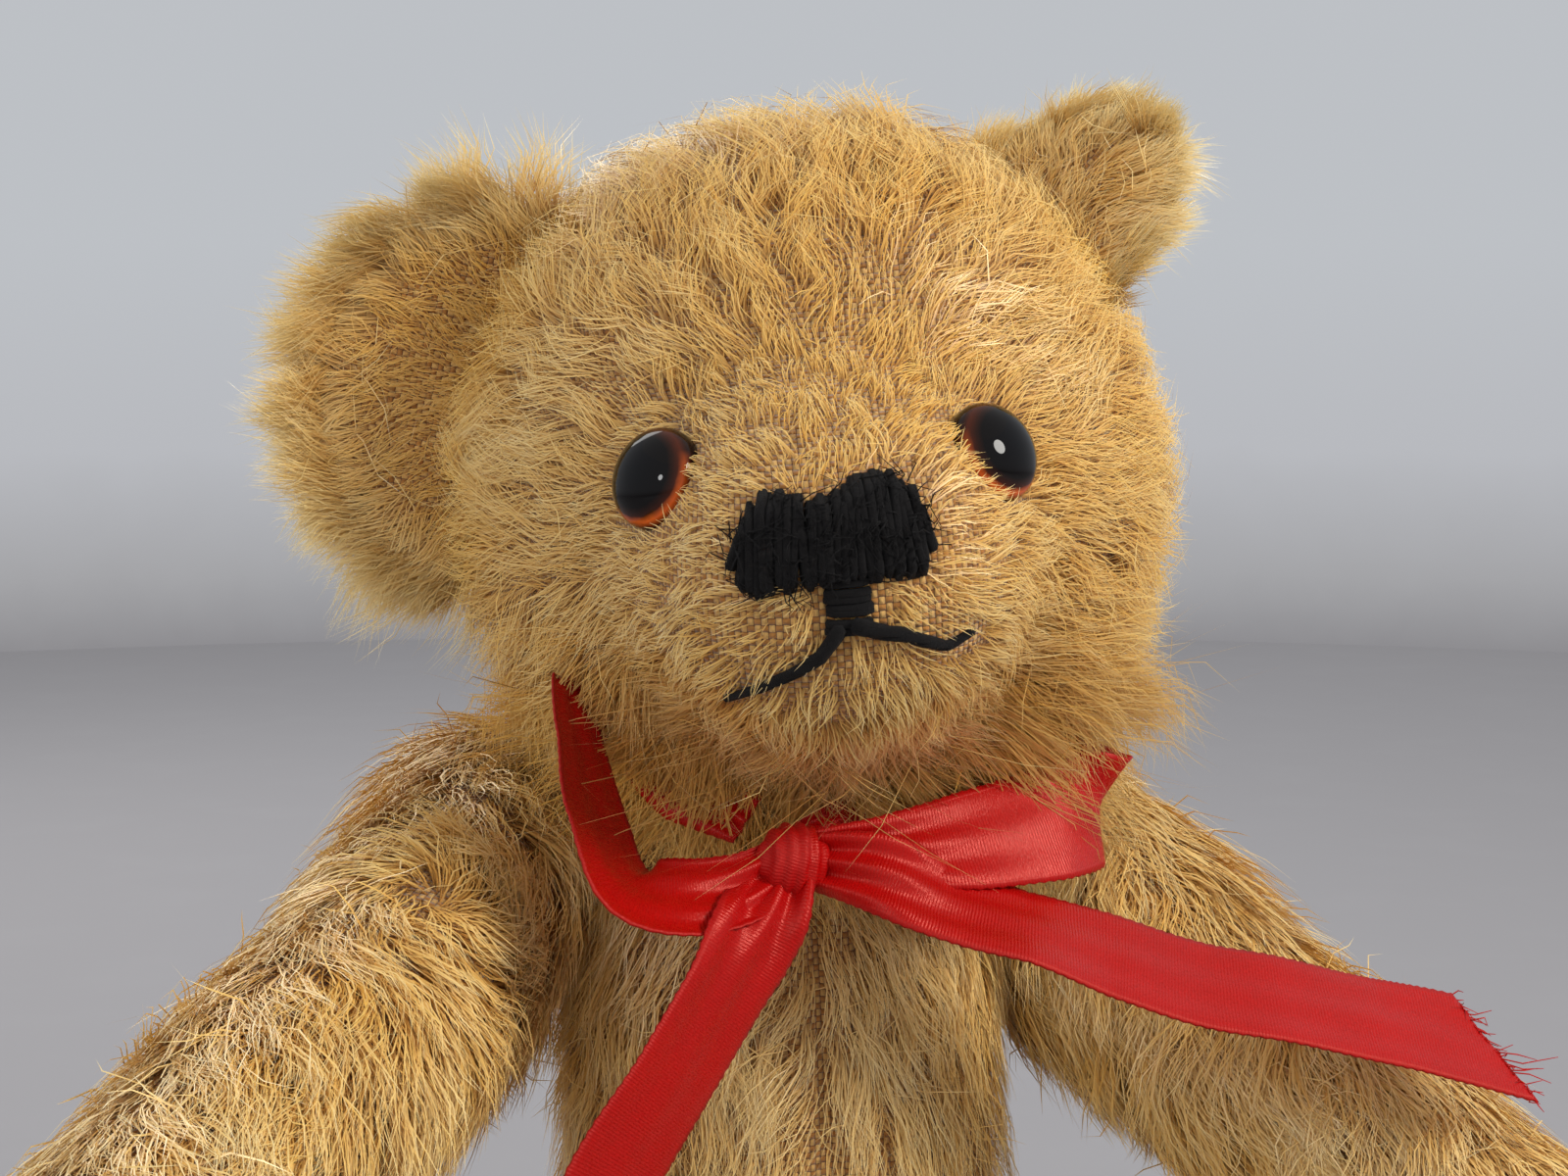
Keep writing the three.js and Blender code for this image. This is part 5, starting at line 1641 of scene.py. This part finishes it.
@dataclass
class RibbonBow:
    """The satin ribbon: gathered round the neck, tied in a bow of two loops, with two tails."""

    shop: Shop
    width: float = RIBBON_WIDTH

    BAND_HALF, BAND_Z = (24.3, 23.5), -3.9
    KNOT_HALF, KNOT_AT = (4.6, 4.2, 4.9), (-7.5, -40.0, 137.0)
    FRAYS = 46

    def strips(self) -> list[Strip]:
        """The loops and the tails, by the points they run through."""
        knot, up = (-7.5, -39.0, 137.2), (0.0, 0.2, 1.0)
        return [
            Strip("ribbon_loop_right",
                  [knot, (-14, -42.5, 134.8), (-22, -44, 134.2), (-29, -42, 136), (-31.2, -36, 143), (-32, -29, 151),
                   (-32.4, -23, 158.5), (-27, -22, 154), (-19, -26, 147), (-11, -32, 141)],
                  [up, (0, 0.6, 0.75), (0.1, 0.75, 0.6), (0.3, 0.9, 0.3), (0.5, 0.85, 0.1), (0.55, 0.8, 0.1),
                   (0.6, 0.7, 0.3), (0.5, 0.3, 0.8), up, up],
                  [6, 10, 13, 14.5, 12.5, 9, 3.5, 9, 12, 7], [0.9, 0.4, 0.15, 0.1, 0.1, 0.1, 0.1, 0.2, 0.6]),
            Strip("ribbon_loop_left",
                  [knot, (4, -42.5, 138.2), (16, -43, 139.2), (28, -40, 140.3), (36.5, -34, 141.2), (30, -30, 143.5),
                   (18, -29.5, 143), (6, -32, 140.5), (-5, -35, 138)],
                  [up, (0.1, 0.4, 0.9), (0.2, 0.5, 0.85), (0.35, 0.55, 0.8), (0.38, 0.5, 0.85), (0.3, 0.4, 0.9),
                   (0.2, 0.3, 0.9), up, up],
                  [6, 9, 13, 15, 15, 15, 13, 9, 6], [0.8, 0.3, 0.06, 0.03, 0.03, 0.05, 0.2, 0.6]),
            Strip("ribbon_tail_right",
                  [knot, (-12.5, -45, 131.5), (-18, -48, 123.5), (-25, -50.5, 114), (-33, -53, 103), (-39, -55, 92)],
                  [(0.9, 0, 0.3), (0.88, 0.3, 0.2), (0.8, 0.45, -0.25), (0.8, 0.5, -0.35), (0.8, 0.45, -0.4),
                   (0.8, 0.5, -0.4)],
                  [7, 14, 15, 15, 15], [1.1, 0.45, 0.12, 0.06, 0.06, 0.08], cut=8),
            Strip("ribbon_tail_left",
                  [knot, (2, -46, 136.4), (11, -48.5, 132.4), (20, -51, 129.5), (30, -53, 126), (40, -55.5, 122.6),
                   (52, -58, 119.6), (68, -60, 115.6), (83.5, -62, 111.3)],
                  [up, (0.2, 0.5, 0.85), (0.25, 0.75, 0.55), (0.2, 0.85, 0.42), (0.25, 0.8, 0.5), (0.3, 0.8, 0.5),
                   (0.25, 0.82, 0.5), (0.25, 0.85, 0.5), (0.25, 0.8, 0.55)],
                  [6, 12, 15, 15, 15, 15, 15], [0.9, 0.4, 0.12, 0.06, 0.08, 0.08, 0.06], cut=-9),
        ]

    def band(self) -> None:
        """The gathered ribbon in the neck's groove: a ring whose radius ripples with its pleats."""
        turn = np.arange(161) / 160 * 2 * math.pi
        tilt = turning("Y", NECK_TILT)
        path = stack(self.BAND_HALF[0] * np.sin(turn), self.BAND_HALF[1] * np.cos(turn), 0 * turn + self.BAND_Z)
        path = (path - NECK * (1, 1, 0)) @ tilt.T + NECK
        up = tuple(tilt[:, 2])
        strip = Strip("ribbon_band", [tuple(p) for p in path], [up, up], [6.2, 6.2], [0.35, 0.35], step=1.4)
        piece = strip.make(self.shop.satin)
        Shop.hand_over(piece, "torso", "red_satin", "neck_ribbon")

    def knot(self) -> None:
        """The knot: a small bundle, wider than high, whose surface is pleated across."""
        q = ball(41, 72)
        pleat = 1 + 0.05 * np.sin(q[..., 0] * 17 + q[..., 2] * 4) + 0.08 * (drift(q * 5, 1.7, 3) - 0.5)
        own = q * pleat[..., None] * np.array(self.KNOT_HALF)
        own = own @ turning("Y", 20).T + np.array(self.KNOT_AT)
        piece = Surface(own).put("ribbon_knot", self.shop.satin)
        Shop.hand_over(piece, "torso", "red_satin")

    def frayed(self, strip: Strip) -> bpy.types.Object:
        """Loose weft and warp threads at a tail's cut end."""
        rng = np.random.default_rng(17)
        path, side, out, _ = strip.frame()
        along = unit(path[-1] - path[-4])
        parts = []
        for x in np.linspace(-0.48, 0.48, self.FRAYS):
            start = path[-1] + side[-1] * x * RIBBON_WIDTH + along * strip.cut * (x + 0.5)
            reach = rng.uniform(0.6, 2.6) if rng.random() < 0.85 else rng.uniform(3, 6)
            bend = rng.normal(0, 0.35, (2, 3))
            steps = np.cumsum([[0, 0, 0], along * reach / 2 + bend[0], along * reach / 2 + bend[1] * 2], axis=0)
            parts.append(tube(start + steps - along * 0.4, np.tile(out[-1], (3, 1)), np.array([0.11, 0.1, 0.05]), 3))
        points, faces = joined(parts)
        return put_mesh(strip.name + "_threads", points, faces, self.shop.satin,
                        np.tile(np.array([[8.0, 3.0]]), (sum(f.size for f in faces), 1)))

    def make(self) -> None:
        """Puts the band, the knot, the loops and the tails; the standing tail is left in place, on no body."""
        self.band()
        self.knot()
        for strip in self.strips():
            piece = strip.make(self.shop.satin)
            ends = [self.frayed(strip)] if "tail" in strip.name else []
            for part in [piece, *ends]:
                if strip.name == "ribbon_tail_left":
                    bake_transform(part)
                else:
                    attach(part, "torso")
            LOG.info("%s: %.0f mm long", strip.name, strip.length)


# ---------------------------------------------------------------- hardware and studio


@dataclass
class JointHardware:
    """The pins, discs and washers inside the joints, and the wire loops behind the eyes, as the frame has them."""

    shop: Shop

    def make(self) -> None:
        """Dresses each node of board or steel."""
        for name, node in frame["nodes"].items():
            if name.endswith("_disc"):
                finish = self.shop.board
            elif name.endswith(("_washer", "_pin")) or "shank" in name:
                finish = self.shop.steel
            else:
                continue
            node.data.materials.clear()
            node.data.materials.append(finish)
            LOG.info("%s: %s", name, finish.name)


@dataclass
class Studio:
    """A pale floor, a round wall that casts no light or shadow, soft lamps and a plain sky. The wall glows with its own
    colour, painted light, and is painted darker towards its foot as shade.
    """

    REACH, HEIGHT, FADE = 1500, 1600, 420.0

    def finish(self, name: str, wall: bool) -> bpy.types.Material:
        """A matt grey, paler upward on the wall, which shows its written colour to the camera by emission. The darker
        foot is painted shade, the wall's emission is painted light, and the floor's faint emission for camera and
        mirror rays is painted light too.
        """
        material, b, shader = Finish(name).start(Roughness=0.9, Specular_IOR_Level=0.1)
        where = Finish.place(b)
        height = b.math("DIVIDE", b.add("ShaderNodeSeparateXYZ", {0: where}).outputs[2], self.FADE, clamp=True)
        grain = b.math("MULTIPLY_ADD", b.noise(where, 0.02, 3), 0.04, -0.02)
        # the darker foot colours are painted shade, paler upward along the ramp
        foot = (0.272, 0.267, 0.281) if wall else (0.305, 0.3, 0.315)
        stops = [(0, foot), (0.12, (0.37, 0.37, 0.385)), (0.34, (0.48, 0.49, 0.52)), (0.7, (0.51, 0.53, 0.56))]
        colour = b.ramp(b.math("ADD", height, grain), stops)
        b.give(shader, Base_Color=colour)
        if wall:
            # the wall glows its colour to every ray that sees it: painted light, not a lamp
            glow = b.add("ShaderNodeEmission", {"Color": colour, "Strength": 1.0})
            b.give(b.tree.nodes["Material Output"], Surface=glow)
        else:
            ray = b.add("ShaderNodeLightPath").outputs
            mirrored = b.math("MAXIMUM", ray["Is Glossy Ray"], ray["Is Transmission Ray"])
            seen = b.math("MAXIMUM", ray["Is Camera Ray"], mirrored)
            # a faint glow on the floor for camera and mirror rays: painted light
            b.give(shader, Emission_Color=colour, Emission_Strength=b.math("MULTIPLY", seen, 0.2))
        return material

    @staticmethod
    def lamp(name: str, at: Triple, size: float, watts: float, colour: Triple) -> None:
        """A round lamp at a place in metres, aimed at the bear's head."""
        data = bpy.data.lights.new(name, "AREA")
        data.shape, data.size, data.energy, data.color = "DISK", size, watts, colour
        lamp = bpy.data.objects.new(name, data)
        bpy.context.scene.collection.objects.link(lamp)
        away = unit(np.array(at) - np.array([0, -0.02, 0.15]))
        side = unit(np.cross([0, 0, 1], away))
        pose = np.stack([side, np.cross(away, side), away], axis=1)
        lamp.visible_glossy, lamp.visible_diffuse = name != "fill", name != "spark"
        lamp.matrix_world = Matrix.Translation(at) @ Matrix(pose.tolist()).to_4x4()

    def make(self) -> None:
        """Puts the floor, wall, lamps, sky and camera."""
        count = 64
        turn = turns(count)
        circle = stack(np.sin(turn), np.cos(turn), 0 * turn)
        radii = np.linspace(0.05, 1, 12)
        floor = np.concatenate([[[0, 0, 0]], (circle[None] * radii[:, None, None] * self.REACH).reshape(-1, 3)])
        k = np.arange(count)
        fan = stack(0 * k, 1 + (k + 1) % count, 1 + k)
        quads = between(len(radii), count) + 1
        ground = put_mesh("floor", floor, [fan, quads], self.finish("floor", False))
        heights = np.linspace(0, self.HEIGHT, 9)
        wall = (circle[None] * self.REACH + np.array([0, 0, 1.0]) * heights[:, None, None]).reshape(-1, 3)
        sides = between(len(heights), count, flip=True)
        backdrop = put_mesh("backdrop", wall, [sides], self.finish("backdrop", True))
        backdrop.visible_diffuse = backdrop.visible_shadow = False
        self.lamp("key", (0.58, -0.7, 0.68), 0.34, 6.8, (1.0, 0.97, 0.92))
        self.lamp("fill", (-0.8, -0.45, 0.35), 0.8, 1.7, (0.97, 0.98, 1.0))
        self.lamp("spark", (-0.71, -0.66, 0.51), 0.15, 1.1, (1.0, 1.0, 1.0))
        self.lamp("rim", (-0.2, 0.8, 0.8), 0.6, 3.2, (1.0, 0.98, 0.95))
        world = bpy.data.worlds.new("sky")
        world.use_nodes = True
        background = world.node_tree.nodes["Background"]
        background.inputs[0].default_value = (0.92, 0.92, 0.93, 1)
        background.inputs[1].default_value = 0.62
        bpy.context.scene.world = world
        bpy.context.scene.view_settings.view_transform = "Standard"
        VIEW.put()


def main() -> None:
    """Builds the classes in order."""
    logging.basicConfig(level=logging.INFO, format="%(name)s: %(message)s")
    shop = Shop.stock()
    Studio().make()
    head = Head(shop)
    makers = [head, Ear(shop, head, Side.RIGHT, up=16, twist=4),
              Ear(shop, head, Side.LEFT, up=38, twist=40, chord=14.0, height=25.5, sunk=6.0, fringe=11.0),
              FaceStitching(shop, head)]
    makers += [Eye(shop, head, side) for side in Side] + [Torso(shop)]
    makers += [StuffedLimb(shop, Limb.ARM, side, swing) for side, swing in ((Side.RIGHT, 68), (Side.LEFT, 48))]
    makers += [StuffedLimb(shop, Limb.LEG, side, swing=83) for side in Side]
    makers += [RibbonBow(shop), JointHardware(shop)]
    for maker in makers:
        maker.make()


if __name__ == "__main__":
    main()
